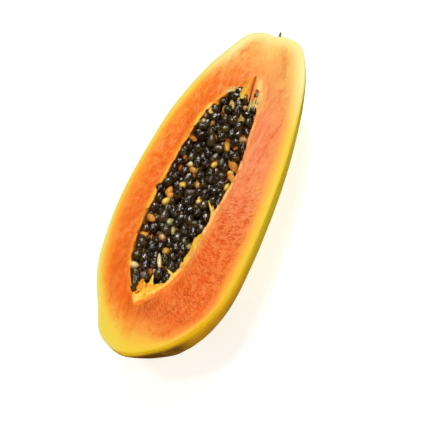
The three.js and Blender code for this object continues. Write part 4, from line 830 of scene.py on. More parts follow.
def pale_material(key, a, b, spot_and_shade_rgb):
    m = Nodes("pale_seed_" + key)
    n = m.noise(420.0, 4.0, 0.6, 0.7)
    col = m.mix(m.span(n, 0.34, 0.68), rgb(*a), rgb(*b))
    col = m.mix(m.math("MULTIPLY", m.span(m.noise(190.0, 3.0, 0.6, 0.8), 0.55, 0.72), 0.7), col, rgb(*spot_and_shade_rgb))
    # painted shade: the spot colour also darkens each seed towards its bottom
    col = m.mix(m.math("MULTIPLY", m.attr("under"), 0.6), col, rgb(*spot_and_shade_rgb))
    b1 = m.bump(n, 0.5, 0.0007)
    b2 = m.bump(m.voronoi(700.0, "SMOOTH_F1"), 0.4, 0.0005, b1)
    m.p.subsurface_method = "RANDOM_WALK"
    return m.finish(Base_Color=col, Roughness=m.span(n, 0.3, 0.7, 0.22, 0.4, "LINEAR"), Subsurface_Weight=0.35, Subsurface_Radius=(1.0, 0.6, 0.25),
                    Subsurface_Scale=0.0016, Coat_Weight=0.55, Coat_Roughness=0.12, IOR=1.38, Normal=b2)


def fibre_material(key, a, b, c):
    m = Nodes("fibre_" + key)
    n = m.noise(520.0, 4.0, 0.6, 1.0, m.stretch(0.35, 1, 1))
    w = m.noise(130.0, 3.0, 0.6, 0.6)
    col = m.mix(m.span(n, 0.34, 0.66), rgb(*a), rgb(*b))
    col = m.mix(m.math("MULTIPLY", m.span(w, 0.5, 0.72), 0.75), col, rgb(*c))
    b1 = m.bump(n, 0.6, 0.0007)
    m.p.subsurface_method = "RANDOM_WALK"
    return m.finish(Base_Color=col, Roughness=m.span(w, 0.3, 0.7, 0.3, 0.5, "LINEAR"), Subsurface_Weight=0.3, Subsurface_Radius=(1.0, 0.6, 0.25),
                    Subsurface_Scale=0.0018, Coat_Weight=0.3, Coat_Roughness=0.2, IOR=1.38, Normal=b1)


def tissue_material(key, turn, tones, swing):
    """Soft placenta tissue: the tone attribute runs from dark to pale."""
    m = Nodes("tissue_" + key)
    tone = m.attr("tone")
    streak = m.noise(430.0, 4.0, 0.62, 0.8, m.stretch(0.22, 1, 1, (0, 0, turn)))
    grain = m.noise(420.0, 3.0, 0.6, 0.5)
    t = m.math("ADD", tone, m.math("MULTIPLY", m.math("SUBTRACT", streak, 0.5), swing))
    t = m.math("ADD", t, m.math("MULTIPLY", m.math("SUBTRACT", grain, 0.5), 0.22))
    col = m.ramp(t, [(a, rgb(*c)) for a, c in tones])
    flesh = m.mix(m.span(streak, 0.4, 0.62), rgb(252, 168, 92), rgb(249, 152, 80))
    flesh = m.mix(m.attr("deepen"), flesh, m.mix(m.span(grain, 0.4, 0.6), rgb(249, 136, 44), rgb(242, 112, 24)))
    col = m.mix(m.attr("join"), col, flesh)
    b1 = m.bump(streak, 0.5, 0.0006)
    b2 = m.bump(grain, 0.5, 0.0006, b1)
    m.p.subsurface_method = "RANDOM_WALK"
    return m.finish(Base_Color=col, Roughness=m.span(grain, 0.3, 0.7, 0.26, 0.44, "LINEAR"), Subsurface_Weight=0.14, Subsurface_Radius=(1.0, 0.5, 0.15),
                    Subsurface_Scale=0.0012, Specular_IOR_Level=0.2, Specular_Tint=(1.0, 0.78, 0.42, 1.0), Coat_Weight=0.04, Coat_Roughness=0.16, IOR=1.4, Normal=b2)


def stalk_material():
    m = Nodes("dry_stalk")
    n = m.noise(900.0, 5.0, 0.65, 0.8, m.stretch(0.25, 1, 1))
    w = m.noise(260.0, 3.0, 0.6)
    col = m.mix(m.span(n, 0.35, 0.66), rgb(140, 122, 96), rgb(84, 70, 50))
    col = m.mix(m.math("MULTIPLY", m.span(w, 0.5, 0.7), 0.6), col, rgb(150, 134, 104))
    b1 = m.bump(n, 0.8, 0.0006)
    return m.finish(Base_Color=col, Roughness=m.span(w, 0.3, 0.7, 0.7, 0.9, "LINEAR"), Normal=b1)


FLESH, SKIN, LINING, SEED = flesh_material(), skin_material(), lining_material(), seed_material()
PALE = {
    "orange": pale_material("orange", (248, 180, 70), (234, 146, 44), (190, 98, 26)),
    "yellow": pale_material("yellow", (254, 216, 104), (244, 184, 60), (212, 136, 34)),
    "gold": pale_material("gold", (232, 176, 66), (202, 134, 36), (140, 78, 22)),
    "cream": pale_material("cream", (250, 236, 184), (232, 206, 128), (204, 158, 70)),
    "olive": pale_material("olive", (206, 196, 134), (164, 152, 86), (112, 96, 44)),
    "tan": pale_material("tan", (226, 190, 128), (188, 140, 76), (128, 82, 38)),
    "grey": pale_material("grey", (150, 138, 116), (110, 100, 80), (76, 64, 46)),
}
FIBRE = {
    "cream": fibre_material("cream", (252, 226, 150), (244, 196, 98), (236, 158, 62)),
    "orange": fibre_material("orange", (250, 168, 66), (232, 124, 38), (190, 84, 24)),
    "yellow": fibre_material("yellow", (255, 210, 84), (250, 178, 52), (244, 148, 40)),
    "amber": fibre_material("amber", (248, 176, 70), (236, 138, 44), (214, 104, 30)),
    "olive": fibre_material("olive", (226, 206, 92), (200, 168, 60), (150, 112, 36)),
    "brown": fibre_material("brown", (150, 84, 34), (104, 52, 20), (70, 34, 16)),
}
GOLD = [(0.0, (70, 26, 8)), (0.12, (150, 58, 12)), (0.25, (226, 104, 22)), (0.40, (244, 140, 32)), (0.52, (250, 166, 48)), (0.64, (251, 186, 54)),
        (0.74, (251, 199, 62)), (0.86, (255, 218, 112)), (1.0, (253, 234, 178))]
OLIVE = [(0.0, (48, 26, 8)), (0.25, (122, 76, 28)), (0.45, (168, 126, 58)), (0.6, (196, 160, 84)), (0.75, (214, 186, 112)), (0.88, (228, 206, 142)), (1.0, (240, 228, 180))]
UMBER = [(0.0, (44, 20, 8)), (0.2, (92, 42, 12)), (0.4, (158, 82, 22)), (0.6, (222, 140, 46)), (0.8, (246, 190, 92)), (1.0, (252, 224, 150))]
LIME = [(0.0, (120, 60, 10)), (0.3, (206, 120, 24)), (0.5, (238, 156, 44)), (0.62, (234, 178, 46)), (0.76, (220, 188, 46)), (0.9, (234, 206, 92)), (1.0, (244, 226, 150))]
CREAM = [(0.0, (90, 34, 10)), (0.15, (170, 78, 22)), (0.35, (238, 138, 66)), (0.5, (246, 160, 84)), (0.65, (249, 186, 98)), (0.8, (253, 212, 120)), (1.0, (253, 232, 170))]
PEACH = [(0.0, (150, 60, 20)), (0.3, (236, 128, 56)), (0.5, (250, 160, 82)), (0.65, (253, 180, 100)), (0.8, (255, 198, 124)), (1.0, (255, 226, 172))]
TISSUE = [tissue_material("along", 0.0, GOLD, 0.34), tissue_material("aslant", -0.62, GOLD, 0.12), tissue_material("olive", 0.3, OLIVE, 0.6),
          tissue_material("umber", 0.5, UMBER, 0.8), tissue_material("cream", 0.0, CREAM, 0.24),
          tissue_material("lime", 0.0, LIME, 0.36), tissue_material("peach", 0.0, PEACH, 0.34)]
STALK = stalk_material()

# ---------------------------------------------------------------- the cut half
NV, NT, RINGS, NE = 300, 92, 80, 36


def depth_ratio(x):
    return np.interp(x, [a for a, _ in DEPTH_RATIO], [b for _, b in DEPTH_RATIO])


def loop_normals(P):
    """Inward normals of a closed loop that runs clockwise or not."""
    d = np.roll(P, -1, 0) - np.roll(P, 1, 0)
    d /= np.linalg.norm(d, axis=1)[:, None] + 1e-12
    n = np.stack([-d[:, 1], d[:, 0]], 1)
    if np.sum(n * (P.mean(0) - P)) < 0:
        n = -n
    return n


def nearest(points, line):
    """Distance from each point to a closed polyline, in the plane."""
    from mathutils.kdtree import KDTree
    n = len(line)
    fine = np.concatenate([line + (np.roll(line, -1, 0) - line) * f for f in np.arange(8) / 8.0])
    tree = KDTree(len(fine))
    for i, p in enumerate(fine):
        tree.insert((p[0], p[1], 0.0), i)
    tree.balance()
    return np.array([tree.find((p[0], p[1], 0.0))[2] for p in points])


def build_half():
    v = np.linspace(0, 1, NV + 1)
    loop = np.array(FACE_LEFT + FACE_RIGHT[-2:0:-1], float)
    L = periodic_spline(loop, 32 * v)
    R = periodic_spline(loop, 64 - 32 * v)
    # the crown at the stem end falls in a little where the stalk came off
    edge = np.concatenate([L, R[-2:0:-1]])  # 2 NV points
    mid = np.array([132.9, -1.0])
    gap = np.linalg.norm(edge - mid, axis=1)
    edge[:, 0] -= 1.3 * np.exp(-(gap / 3.2) ** 2) + 0.35 * noise(np.c_[edge, 0 * gap], 5.0, 3) * smooth(edge[:, 0], 118, 130)
    edge += loop_normals(edge) * (0.22 * (1 + noise(np.c_[edge, 0 * gap], 26.0, 5)))[:, None]
    edge -= loop_normals(edge) * (np.interp(edge[:, 0], [-132, -118, -100, -80, -62, -45], [0, 1.0, 1.2, 1.0, 0.6, 0]) * smooth(-edge[:, 1], 8, 22))[:, None]
    L, R = edge[:NV + 1], np.concatenate([edge[:1], edge[:NV - 1:-1]])
    verts, at = [], {}
    n = len(edge)
    rim_z = CUT - 0.32
    verts.append(np.c_[edge, np.full(n, rim_z)])
    left = np.arange(0, NV + 1)
    right = np.concatenate([[0], np.arange(n - 1, NV - 1, -1)])
    # skin
    th = np.concatenate([[0.014], np.arange(1, NT) * math.pi / NT, [math.pi - 0.014]])
    c, h = (L + R) / 2, (L - R) / 2
    hw = np.linalg.norm(h, axis=1)
    rat = depth_ratio(c[:, 0])
    pull = TIP_SHIFT * np.exp(-(v / TIP_REACH) ** 2) * (1 - np.exp(-(v / 0.02) ** 2))
    C, S = np.cos(th)[None, :], np.sin(th)[None, :]
    lobe = 0.5 - 0.5 * np.cos(5 * (th - math.pi / 2))[None, :]
    shrink = 1 - (0.011 * lobe + 0.0) * S ** 1.5
    swell = np.interp(c[:, 0], [a for a, _ in SWELL], [w for _, w in SWELL]) - np.interp(c[:, 0], [-134, -126, -118, -110, -100, -80, -62, -45], [0, 0.3, 1.0, 2.0, 2.3, 1.5, 0.8, 0])
    belly = swell[:, None] * S ** 0.8 * (0.5 - 0.5 * C)
    X = c[:, 0:1] + h[:, 0:1] * C * shrink - pull[:, None] * S - 0.5 * belly
    Y = c[:, 1:2] + h[:, 1:2] * C * shrink - belly
    Z = CUT - hw[:, None] * rat[:, None] * S * shrink
    P = np.stack([X, Y, Z], 2)
    wob = fbm(P, 46.0, 11, 3) - 0.35
    small = fbm(P, 9.0, 12, 2)
    fade = S ** 0.8 * np.minimum(1, hw / 25)[:, None]
    centre = np.stack([c[:, 0], c[:, 1], np.full(len(c), CUT)], 1)[:, None, :]
    out = P - centre
    out /= np.linalg.norm(out, axis=2)[..., None] + 1e-9
    P = P + out * (0.45 * wob + 0.07 * small)[..., None] * fade[..., None]
    z = P[..., 2]
    z = 0.5 * (z + np.sqrt(z * z + 0.5))
    P[..., 2] = np.maximum(0, z - 0.035)
    P[..., 2] = np.minimum(P[..., 2], rim_z - 0.35 * np.minimum(1, hw / 4)[:, None])
    skin = P[1:NV]  # rows 1..NV-1
    base = n
    verts.append(skin.reshape(-1, 3))
    m = len(th)
    cols = m + 2

    def sid(i, j):
        """Index of skin grid point: station i in 1..NV-1, column j in 0..m+1."""
        i, j = np.broadcast_arrays(i, j)
        return np.where(j == 0, left[i], np.where(j == cols - 1, right[i], base + (i - 1) * m + (j - 1)))

    i, j = np.meshgrid(np.arange(1, NV - 1), np.arange(cols - 1), indexing="ij")
    i, j = i.ravel(), j.ravel()
    skin_faces = np.stack([sid(i, j), sid(i + 1, j), sid(i + 1, j + 1), sid(i, j + 1)], 1)
    j = np.arange(cols - 1)
    caps0 = np.stack([np.zeros(len(j), int), sid(np.full(len(j), 1), j), sid(np.full(len(j), 1), j + 1)], 1)
    caps1 = np.stack([np.full(len(j), NV), sid(np.full(len(j), NV - 1), j + 1), sid(np.full(len(j), NV - 1), j)], 1)
    # cut face, ring by ring from the rim to the cavity
    cav = np.array(CAVITY_LEFT + CAVITY_RIGHT[-2:0:-1], float)
    CLn = periodic_spline(cav, 30 * v)
    CRn = periodic_spline(cav, 60 - 30 * v)
    hole = np.concatenate([CLn, CRn[-2:0:-1]])
    nc = -loop_normals(hole)  # away from the cavity
    jag = 0.55 * noise(np.c_[hole, np.zeros(n)], 8.0, 21) + 0.35 * noise(np.c_[hole, np.zeros(n)], 3.2, 22)
    hx, hy = hole[:, 0], hole[:, 1]
    inset = 0.5 + 1.1 * smooth(-hy, -4, 8) * smooth(-hx, -90, -60)
    knob = np.interp(hx, [a for a, _ in WALL_KNOBS], [w for _, w in WALL_KNOBS]) * smooth(hy, 2, 8)
    hole = hole + nc * (jag - inset - knob)[:, None]
    no = loop_normals(edge)
    A = edge + no * 0.75
    B = hole + nc * 1.5
    rows = [np.c_[edge + no * 0.32, np.full(n, CUT)]]
    for k in range(RINGS - 4):
        w = k / (RINGS - 5)
        rows.append(np.c_[A + (B - A) * w, np.full(n, CUT)])
    rows.append(np.c_[hole + nc * 0.75, np.full(n, CUT - 0.16)])
    rows.append(np.c_[hole + nc * 0.22, np.full(n, CUT - 0.62)])
    face = np.array(rows)
    flat = face.reshape(-1, 3).copy()
    dr = nearest(flat[:, :2], edge)
    dc = nearest(flat[:, :2], hole)
    rel = fbm(flat * [0.45, 1, 1], 2.6, 31, 3) * 0.16 + fbm(flat, 14.0, 32, 2) * 0.14
    cr = np.abs(noise(flat * [0.8, 1, 1] + [0, 40, 0], 2.2, 33))
    crinkle = crinkle_of(flat)
    rel -= 0.22 * smooth(cr, 0.30, 0.0) * crinkle
    rel *= smooth(dr, 0.3, 2.2) * 0.85 + 0.15
    flat[:, 2] += rel
    fbase = n + len(skin) * m
    verts.append(flat)
    ring = np.arange(n)
    nxt = (ring + 1) % n
    bevel = np.stack([ring, nxt, fbase + nxt, fbase + ring], 1)
    ff = []
    for k in range(len(face) - 1):
        a, b = fbase + k * n, fbase + (k + 1) * n
        ff.append(np.stack([a + ring, a + nxt, b + nxt, b + ring], 1))
    ff = np.concatenate(ff)
    last = fbase + (len(face) - 1) * n
    # cavity
    q = np.clip((np.linspace(0, 1, NV + 1)), 0, 1)
    HL, HR = hole[:NV + 1], np.concatenate([hole[:1], hole[:NV - 1:-1]])
    cx = (HL[:, 0] + HR[:, 0]) / 2
    x0, x1 = cx.min() - 0.4, cx.max() + 0.4
    qq = (cx - x0) / (x1 - x0)
    deep = 1.2 + CAVITY_DEPTH * np.sin(math.pi * np.clip(qq, 0, 1)) ** 0.36
    s = np.arange(1, NE) / NE * 2 - 1
    e = -np.sign(s) * (1 - (1 - np.abs(s)) ** 2.1)  # +1 at the +Y wall
    mc, mh = (HL + HR) / 2, (HL - HR) / 2
    X = mc[:, 0:1] + mh[:, 0:1] * e
    Y = mc[:, 1:2] + mh[:, 1:2] * e
    sharp = np.where(e > 0, 2.6, 3.2)
    Z = CUT - 0.9 - (deep[:, None] - 0.9) * (np.maximum(0, 1 - np.abs(e) ** sharp) ** np.where(e > 0, 0.62, 0.5))[None, :]
    W = np.stack([X, Y, Z], 2)
    wall = 0.55 * fbm(W, 6.5, 41, 3) * smooth(CUT - Z, 0.8, 4.0) * np.minimum(1, np.linalg.norm(mh, axis=1) / 5)[:, None]
    W[..., 2] -= np.abs(wall)
    W[..., 1] += wall * np.sign(e)[None, :] * smooth(np.abs(e), 0.5, 1.0)[None, :]
    cbase = fbase + len(flat)
    verts.append(W[1:NV].reshape(-1, 3))
    mm = len(s)

    def cid(i, j):
        i, j = np.broadcast_arrays(i, j)
        return np.where(j == 0, last + left[i], np.where(j == mm + 1, last + right[i], cbase + (i - 1) * mm + (j - 1)))

    i, j = np.meshgrid(np.arange(1, NV - 1), np.arange(mm + 1), indexing="ij")
    i, j = i.ravel(), j.ravel()
    cav_faces = np.stack([cid(i, j), cid(i + 1, j), cid(i + 1, j + 1), cid(i, j + 1)], 1)[:, ::-1]
    j = np.arange(mm + 1)
    cc0 = np.stack([np.full(len(j), last), cid(np.full(len(j), 1), j + 1), cid(np.full(len(j), 1), j)], 1)
    cc1 = np.stack([np.full(len(j), last + NV), cid(np.full(len(j), NV - 1), j), cid(np.full(len(j), NV - 1), j + 1)], 1)
    V = np.concatenate(verts)
    faces = [list(f) for f in skin_faces] + [list(f) for f in caps0] + [list(f) for f in caps1]
    n_skin = len(faces)
    faces += [list(f) for f in bevel] + [list(f) for f in ff]
    n_flesh = len(faces)
    faces += [list(f) for f in cav_faces] + [list(f) for f in cc0] + [list(f) for f in cc1]
    index = np.zeros(len(faces), int)
    index[n_skin:n_flesh] = 1
    index[n_flesh:] = 2
    o = new_mesh("papaya_half", V, faces, [SKIN, FLESH, LINING], index)
    # one outward winding for all
    import bmesh
    bm = bmesh.new()
    bm.from_mesh(o.data)
    bmesh.ops.recalc_face_normals(bm, faces=bm.faces)
    bm.to_mesh(o.data)
    bm.free()
    x, y, z = V[:, 0], V[:, 1], V[:, 2]
    rim = np.zeros(len(V))
    rim[n:fbase] = CUT - V[n:fbase, 2]
    rim[fbase:cbase] = dr
    rim[cbase:] = 30
    dcv = np.full(len(V), 45.0)
    dcv[fbase:cbase] = dc
    dcv[cbase:] = 0
    dcv[last:cbase] = 0
    attribute(o, "rim_mm", rim / 45)
    attribute(o, "cavity_mm", np.minimum(dcv, 45) / 45)
    attribute(o, "side", smooth(y - 3, -7, 9))
    far = smooth(y, -2, 10)
    attribute(o, "stem", smooth((x - 50 - 26 * far) / (58 - 14 * far), 0, 1))
    attribute(o, "tip", smooth(-x, 84, 116))
    attribute(o, "nose", smooth(-np.linalg.norm((V[:, :2] - [-134.0, 9.0]) * [1.0, 1.5], axis=1), -48, -16) * 1.2)
    attribute(o, "lower", smooth(-x, -32, 62))
    attribute(o, "olive", smooth(x, -78, -8) * (np.arange(len(V)) < fbase))
    attribute(o, "strip", smooth(-y, -6, 2) * smooth(-x, 4, 18) * smooth(x, -92, -74))
    attribute(o, "narrow", smooth(-y, 6, 18) * (0.30 * smooth(-x, -30, 80) * smooth(x, -132, -114) + 1.3 * smooth(-x, 70, 92) * smooth(x, -134, -108) * smooth(-y, 14, 30)))
    leftside = smooth(y - 3, -7, 9)
    attribute(o, "band", leftside / 45 * np.interp(x, [-134, -107, -97, -85, -61, -40, -25, 15, 45, 75, 90, 110, 130], [0.4, 1.2, 1.8, 1.9, 1.0, 0.2, 0, 0, 1.1, 1.8, 2.1, 1.3, 0.3]))
    attribute(o, "rimlight", leftside * np.interp(x, [-134, -107, -97, -85, -61, -25, 15, 45, 75, 90, 115, 130], [0.5, 0.8, 0.8, 0.7, 0.6, 0.15, 0.0, 0.25, 0.6, 0.9, 0.8, 0.3]))
    attribute(o, "vein_and_shadow_line", path_of(V, DARK_VEINS_AND_SHADOW_LINE))
    attribute(o, "pale_vein", path_of(V, PALE_VEINS))
    # mask of the painted shade low on the -Y side of the blossom end
    attribute(o, "blossom_shade", 1.10 * smooth(-x, 99, 120) * smooth(-y, -24, -6) * smooth(CUT - z, 0.6, 7.5) * (1 - 0.55 * smooth(x, -124, -105)) * smooth(CUT - z + 5.0 * fbm(V, 9.0, 77, 3) + 0.35 * (y + 8), 34, 15) * smooth(-y + 4.0 * fbm(V, 8.0, 78, 3), 46, 30) * (np.arange(len(V)) < fbase))
    # coordinates that follow the rim
    turn = np.zeros(len(V))
    turn[:n] = ring / n
    turn[fbase:cbase] = np.tile(ring / n, len(face))
    band = (len(edge) * 1.07) / (2 * math.pi)
    grain = np.stack([band * np.cos(2 * math.pi * turn), band * np.sin(2 * math.pi * turn), rim], 1)
    grain[cbase:] = V[cbase:]
    lean = turn - 0.60 * rim / (len(edge) * 1.07)
    slant = np.stack([band * np.cos(2 * math.pi * lean), band * np.sin(2 * math.pi * lean), rim], 1)
    slant[cbase:] = V[cbase:]
    for name, values in (("grain", grain), ("slant", slant)):
        ga = o.data.attributes.new(name, "FLOAT_VECTOR", "POINT")
        ga.data.foreach_set("vector", (values * MM).astype(np.float32).ravel())
    attribute(o, "crinkle", crinkle_of(V))
    attribute(o, "lining", lining_of(V))
    attribute(o, "depth", np.clip((CUT - z) / 20, 0, 1) * (np.arange(len(V)) >= cbase))
    under = np.clip((CUT - z) / CUT, 0, 1)
    attribute(o, "green", np.clip(smooth(x, -10, 132) * 0.85 + 0.10 * under + 0.25 * smooth(x, 112, 131), 0, 1.2))
    attribute(o, "blemish", np.clip(0.35 + 0.75 * smooth(-x, 60, 135) + 0.4 * under, 0, 1) * (np.arange(len(V)) < fbase))
    stemd = np.linalg.norm(V - np.array([133.0, -1.5, CUT - 1]), axis=1) + 1.6 * noise(V, 4.0, 51)
    tipd = np.linalg.norm(V - np.array([-136.5, 2.9, CUT - 2]), axis=1) + 0.8 * noise(V, 2.0, 52)
    attribute(o, "cork", np.clip(smooth(stemd, 9.5, 6.5) + 0.5 * smooth(tipd, 2.2, 1.0), 0, 1) * (np.arange(len(V)) < fbase))
    return o


# How far the flesh reaches into the cavity along the +Y wall, x and mm.
WALL_KNOBS = [(-47, 0.0), (-30, -0.5), (-25, -0.3), (-22, 0.4), (-14.5, 0.8), (-11.5, 0.0), (-8, -1.2), (-4.6, 0.3), (-1, 0.8), (4, 0.6), (9, 0.0), (22, -0.4), (30, -0.5),
              (35, -0.8), (38.2, 1.3), (41, 0.0), (45, -0.6), (52.5, -0.7), (60, -0.9), (64.5, -1.1), (67.5, 1.4), (69.7, 2.4), (72.7, 1.0), (77, 0.0)]

# Lines on the cut face, in the view frame: points, half width in mm and strength.
DARK_VEINS_AND_SHADOW_LINE = [
    ([(41, 108), (42, 96), (40, 84), (38, 72), (37, 58), (36, 44), (35, 28)], 1.0, 0.8),
    ([(30, 62), (29, 50), (30, 38), (28, 24)], 0.9, 0.55),
    ([(15, 167), (18, 158), (22, 149), (25, 141)], 2.2, 0.44),
    ([(-40, 84), (-43, 70), (-45, 58), (-44, 46)], 1.1, 0.5),
    ([(-34, -96), (-36, -86), (-38, -74)], 1.4, 0.45),
    ([(27, 128), (32, 118), (36, 112)], 1.0, 0.4),
    # painted shadow: a darker line on the flesh along the left edge of the stem tissue, where shade falls
    ([(-8.4, 131), (-9.8, 125), (-11.6, 119), (-13.6, 114)], 2.6, 0.55),
    ([(-62, -52), (-56, -50), (-51, -46)], 1.0, 0.35),
]
PALE_VEINS = [
    ([(1, 174), (1, 166), (1, 158), (2, 150)], 3.2, 0.6),
    ([(-6, 170), (-5, 156), (-3, 142)], 1.8, 0.3),
    ([(8, 171), (7, 158), (5, 146)], 1.5, 0.35),
    ([(8, 132), (11.5, 127), (14.5, 121)], 1.8, 0.6),
    ([(15, 110), (16, 104), (16, 98)], 1.4, 0.5),
]


def path_of(P, lines):
    """How near each point is to one of the lines."""
    out = np.zeros(len(P))
    for pts, half_width, strength in lines:
        Q = np.array([spot(t, s, 0.0)[:2] for t, s in curve(np.array([(a, b, 0.0) for a, b in pts]), 40)[:, :2]])
        best = np.full(len(P), 1e9)
        A, D = Q[:-1], Q[1:] - Q[:-1]
        box = (P[:, 0] > Q[:, 0].min() - 8) & (P[:, 0] < Q[:, 0].max() + 8) & (P[:, 1] > Q[:, 1].min() - 8) & (P[:, 1] < Q[:, 1].max() + 8)
        X = P[box][:, :2]
        near = np.full(len(X), 1e9)
        for a, d in zip(A, D):
            u = np.clip(((X - a) @ d) / (d @ d), 0, 1)
            near = np.minimum(near, np.linalg.norm(X - a - u[:, None] * d, axis=1))
        best[box] = near + 0.5 * noise(P[box], 4.0, 91)
        out = np.maximum(out, strength * smooth(best, half_width * 1.6, half_width * 0.3))
    return out


def crinkle_of(P):
    """How strongly the cut cells show, from the place on the cut face."""
    x, y = P[:, 0], P[:, 1]
    fade = smooth(x, -113, -100)
    right = smooth(-y, 8, 16) * (0.30 + 0.70 * smooth(-x, -32, 26)) * fade
    low = smooth(-x, 80, 98) * smooth(-y, -22, 0) * fade
    leftw = smooth(y, 22, 30) * 0.42 * smooth(x, 118, 84)
    return np.clip(np.maximum(np.maximum(right, low), leftw), 0, 1)


def lining_of(P):
    """Where the pale lining laps over the cavity's edge."""
    x, y = P[:, 0], P[:, 1]
    right = smooth(-y, -4, 4) * (0.75 + 0.25 * smooth(-x, 20, 45)) * (1 - 0.6 * smooth(-x, 26, 8) * smooth(x, 52, 38))
    leftw = smooth(y, 8, 14) * 0.7 * smooth(x, 62, 40)
    return np.clip(np.maximum(right, leftw), 0, 1)


# ---------------------------------------------------------------- seeds
def cube_sphere(n):
    key, verts, faces = {}, [], []
    axes = [((1, 0, 0), (0, 1, 0), (0, 0, 1)), ((-1, 0, 0), (0, 0, 1), (0, 1, 0)), ((0, 1, 0), (0, 0, 1), (1, 0, 0)),
            ((0, -1, 0), (1, 0, 0), (0, 0, 1)), ((0, 0, 1), (1, 0, 0), (0, 1, 0)), ((0, 0, -1), (0, 1, 0), (1, 0, 0))]
    for w, u, v in axes:
        w, u, v = map(np.array, (w, u, v))
        idx = np.zeros((n + 1, n + 1), int)
        for i in range(n + 1):
            for j in range(n + 1):
                a, b = math.tan((i / n - 0.5) * math.pi / 2), math.tan((j / n - 0.5) * math.pi / 2)
                p = w + u * a + v * b
                p = p / np.linalg.norm(p)
                k = tuple(np.round(p, 6))
                if k not in key:
                    key[k] = len(verts)
                    verts.append(p)
                idx[i, j] = key[k]
        for i in range(n):
            for j in range(n):
                faces.append((idx[i, j], idx[i + 1, j], idx[i + 1, j + 1], idx[i, j + 1]))
    return np.array(verts), np.array(faces)


BALL_FINE, BALL_LOW = cube_sphere(12), cube_sphere(6)


def frame_of(heading, tilt):
    az, ti = math.radians(heading), math.radians(tilt)
    a = np.array([math.cos(az) * math.cos(ti), math.sin(az) * math.cos(ti), math.sin(ti)])
    s = unit(np.cross([0, 0, 1], a))
    return np.array([a, s, np.cross(a, s)])  # rows: along, across, up


def shell_of(row, long=1.0, wide=1.0):
    """Ellipsoid of a seed: centre, frame, radii."""
    return (np.array([row[0], row[1], CUT + row[2]]), frame_of(row[5], row[6]),
            np.array([row[3] * long, row[4] * wide, row[4] * wide]))


def level(shell, P):
    c, F, r = shell
    return np.linalg.norm(((P - c) @ F.T) / r, axis=-1)


def press(P, me, others, gap=0.012):
    """Push the points of one soft seed back to where it meets its neighbours."""
    c = me[0]
    d = P - c
    own = level(me, P)
    total = np.zeros(len(P))
    for o in others:
        if o is me or np.linalg.norm(o[0] - c) > me[2].max() + o[2].max() + 0.3:
            continue
        hit = own - level(o, P) > -0.12
        if not hit.any():
            continue
        Q, ow = d[hit], own[hit]
        lo, hi = np.zeros(len(Q)), np.full(len(Q), 1.25)
        for _ in range(11):
            m = (lo + hi) / 2
            g = m * ow - level(o, c + Q * m[:, None])
            lo, hi = np.where(g < 0, m, lo), np.where(g < 0, hi, m)
        k = (lo + hi) / 2 - gap
        total[hit] += np.exp(-k * 26.0)
    own_k = np.exp(-26.0)
    k = np.where(total > 0, -np.log(total + own_k) / 26.0, 1.0)
    k = np.clip(k + 0.0, 0.55, 1.0)
    return c + d * k[:, None]


def seed_mesh(row, seed, ball, lumpy=0.05, wrinkle=0.016, flat=1.0, beak=0.13, long=1.0, wide=1.0, others=()):
    p, faces = ball
    me = shell_of(row, long, wide)
    c, F, rad = me
    k = p[:, 0]
    r = 1 - 0.15 * k - 0.03 * k * k
    q = np.stack([k + beak * smooth(k, 0.80, 1.0), p[:, 1] * r, p[:, 2] * r * flat], 1)
    off = np.array([seed * 3.7, seed * 1.3, seed * 2.1])
    d = 1 + lumpy * fbm(p + off, 0.9, 61, 2) + wrinkle * fbm(p * [0.6, 1, 1] + off, 0.42, 62, 2)
    q = q * d[:, None] * rad
    P = q @ F + c
    if len(others):
        P = press(P, me, others)
    # the third value is how low each point sits on the seed, used for painted shade on its underside
    return P, faces, np.clip(0.5 - 0.5 * (P[:, 2] - c[2]) / rad[1], 0, 1)


def tube(path, radius, sides=6, seed=0, lumpy=0.0, flat=None, roll=None, round_end=0.6):
    """Closed round-ended tube through the points; radius may change along it."""
    P = np.asarray(path, float)
    n = len(P)
    r = np.broadcast_to(np.asarray(radius, float), (n,))
    T = np.gradient(P, axis=0)
    T /= np.linalg.norm(T, axis=1)[:, None] + 1e-9
    up = np.tile([0.0, 0.0, 1.0], (n, 1)) if roll is None else np.asarray(roll, float)
    S = np.cross(T, up)
    S /= np.linalg.norm(S, axis=1)[:, None] + 1e-9
    U = np.cross(S, T)
    ang = np.arange(sides) * 2 * math.pi / sides
    fl = np.ones(n) if flat is None else np.broadcast_to(np.asarray(flat, float), (n,))
    ring = P[:, None, :] + r[:, None, None] * (np.cos(ang)[None, :, None] * S[:, None, :] + np.sin(ang)[None, :, None] * U[:, None, :] * fl[:, None, None])
    if lumpy:
        c = P[:, None, :]
        ring = c + (ring - c) * (1 + lumpy * fbm(ring, 1.6, 71 + seed, 2))[..., None]
    V = np.concatenate([ring.reshape(-1, 3), [P[0] - T[0] * r[0] * round_end, P[-1] + T[-1] * r[-1] * round_end]])
    F = [tuple(f) for f in grid_faces(n, sides, 0, True)]
    a, b = n * sides, n * sides + 1
    F += [(a, (j + 1) % sides, j) for j in range(sides)]
    e = (n - 1) * sides
    F += [(b, e + j, e + (j + 1) % sides) for j in range(sides)]
    return V, F


def curve(points, n):
    """Smooth curve through the points, resampled to n."""
    P = np.asarray(points, float)
    Q = np.concatenate([[2 * P[0] - P[1]], P, [2 * P[-1] - P[-2]]])
    u = np.linspace(0, len(P) - 1, n)
    i = np.minimum(u.astype(int), len(P) - 2)
    f = (u - i)[:, None]
    a, b, c, d = Q[i], Q[i + 1], Q[i + 2], Q[i + 3]
    return 0.5 * (2 * b + (c - a) * f + (2 * a - 5 * b + 4 * c - d) * f ** 2 + (3 * b - 3 * c + d - a) * f ** 3)


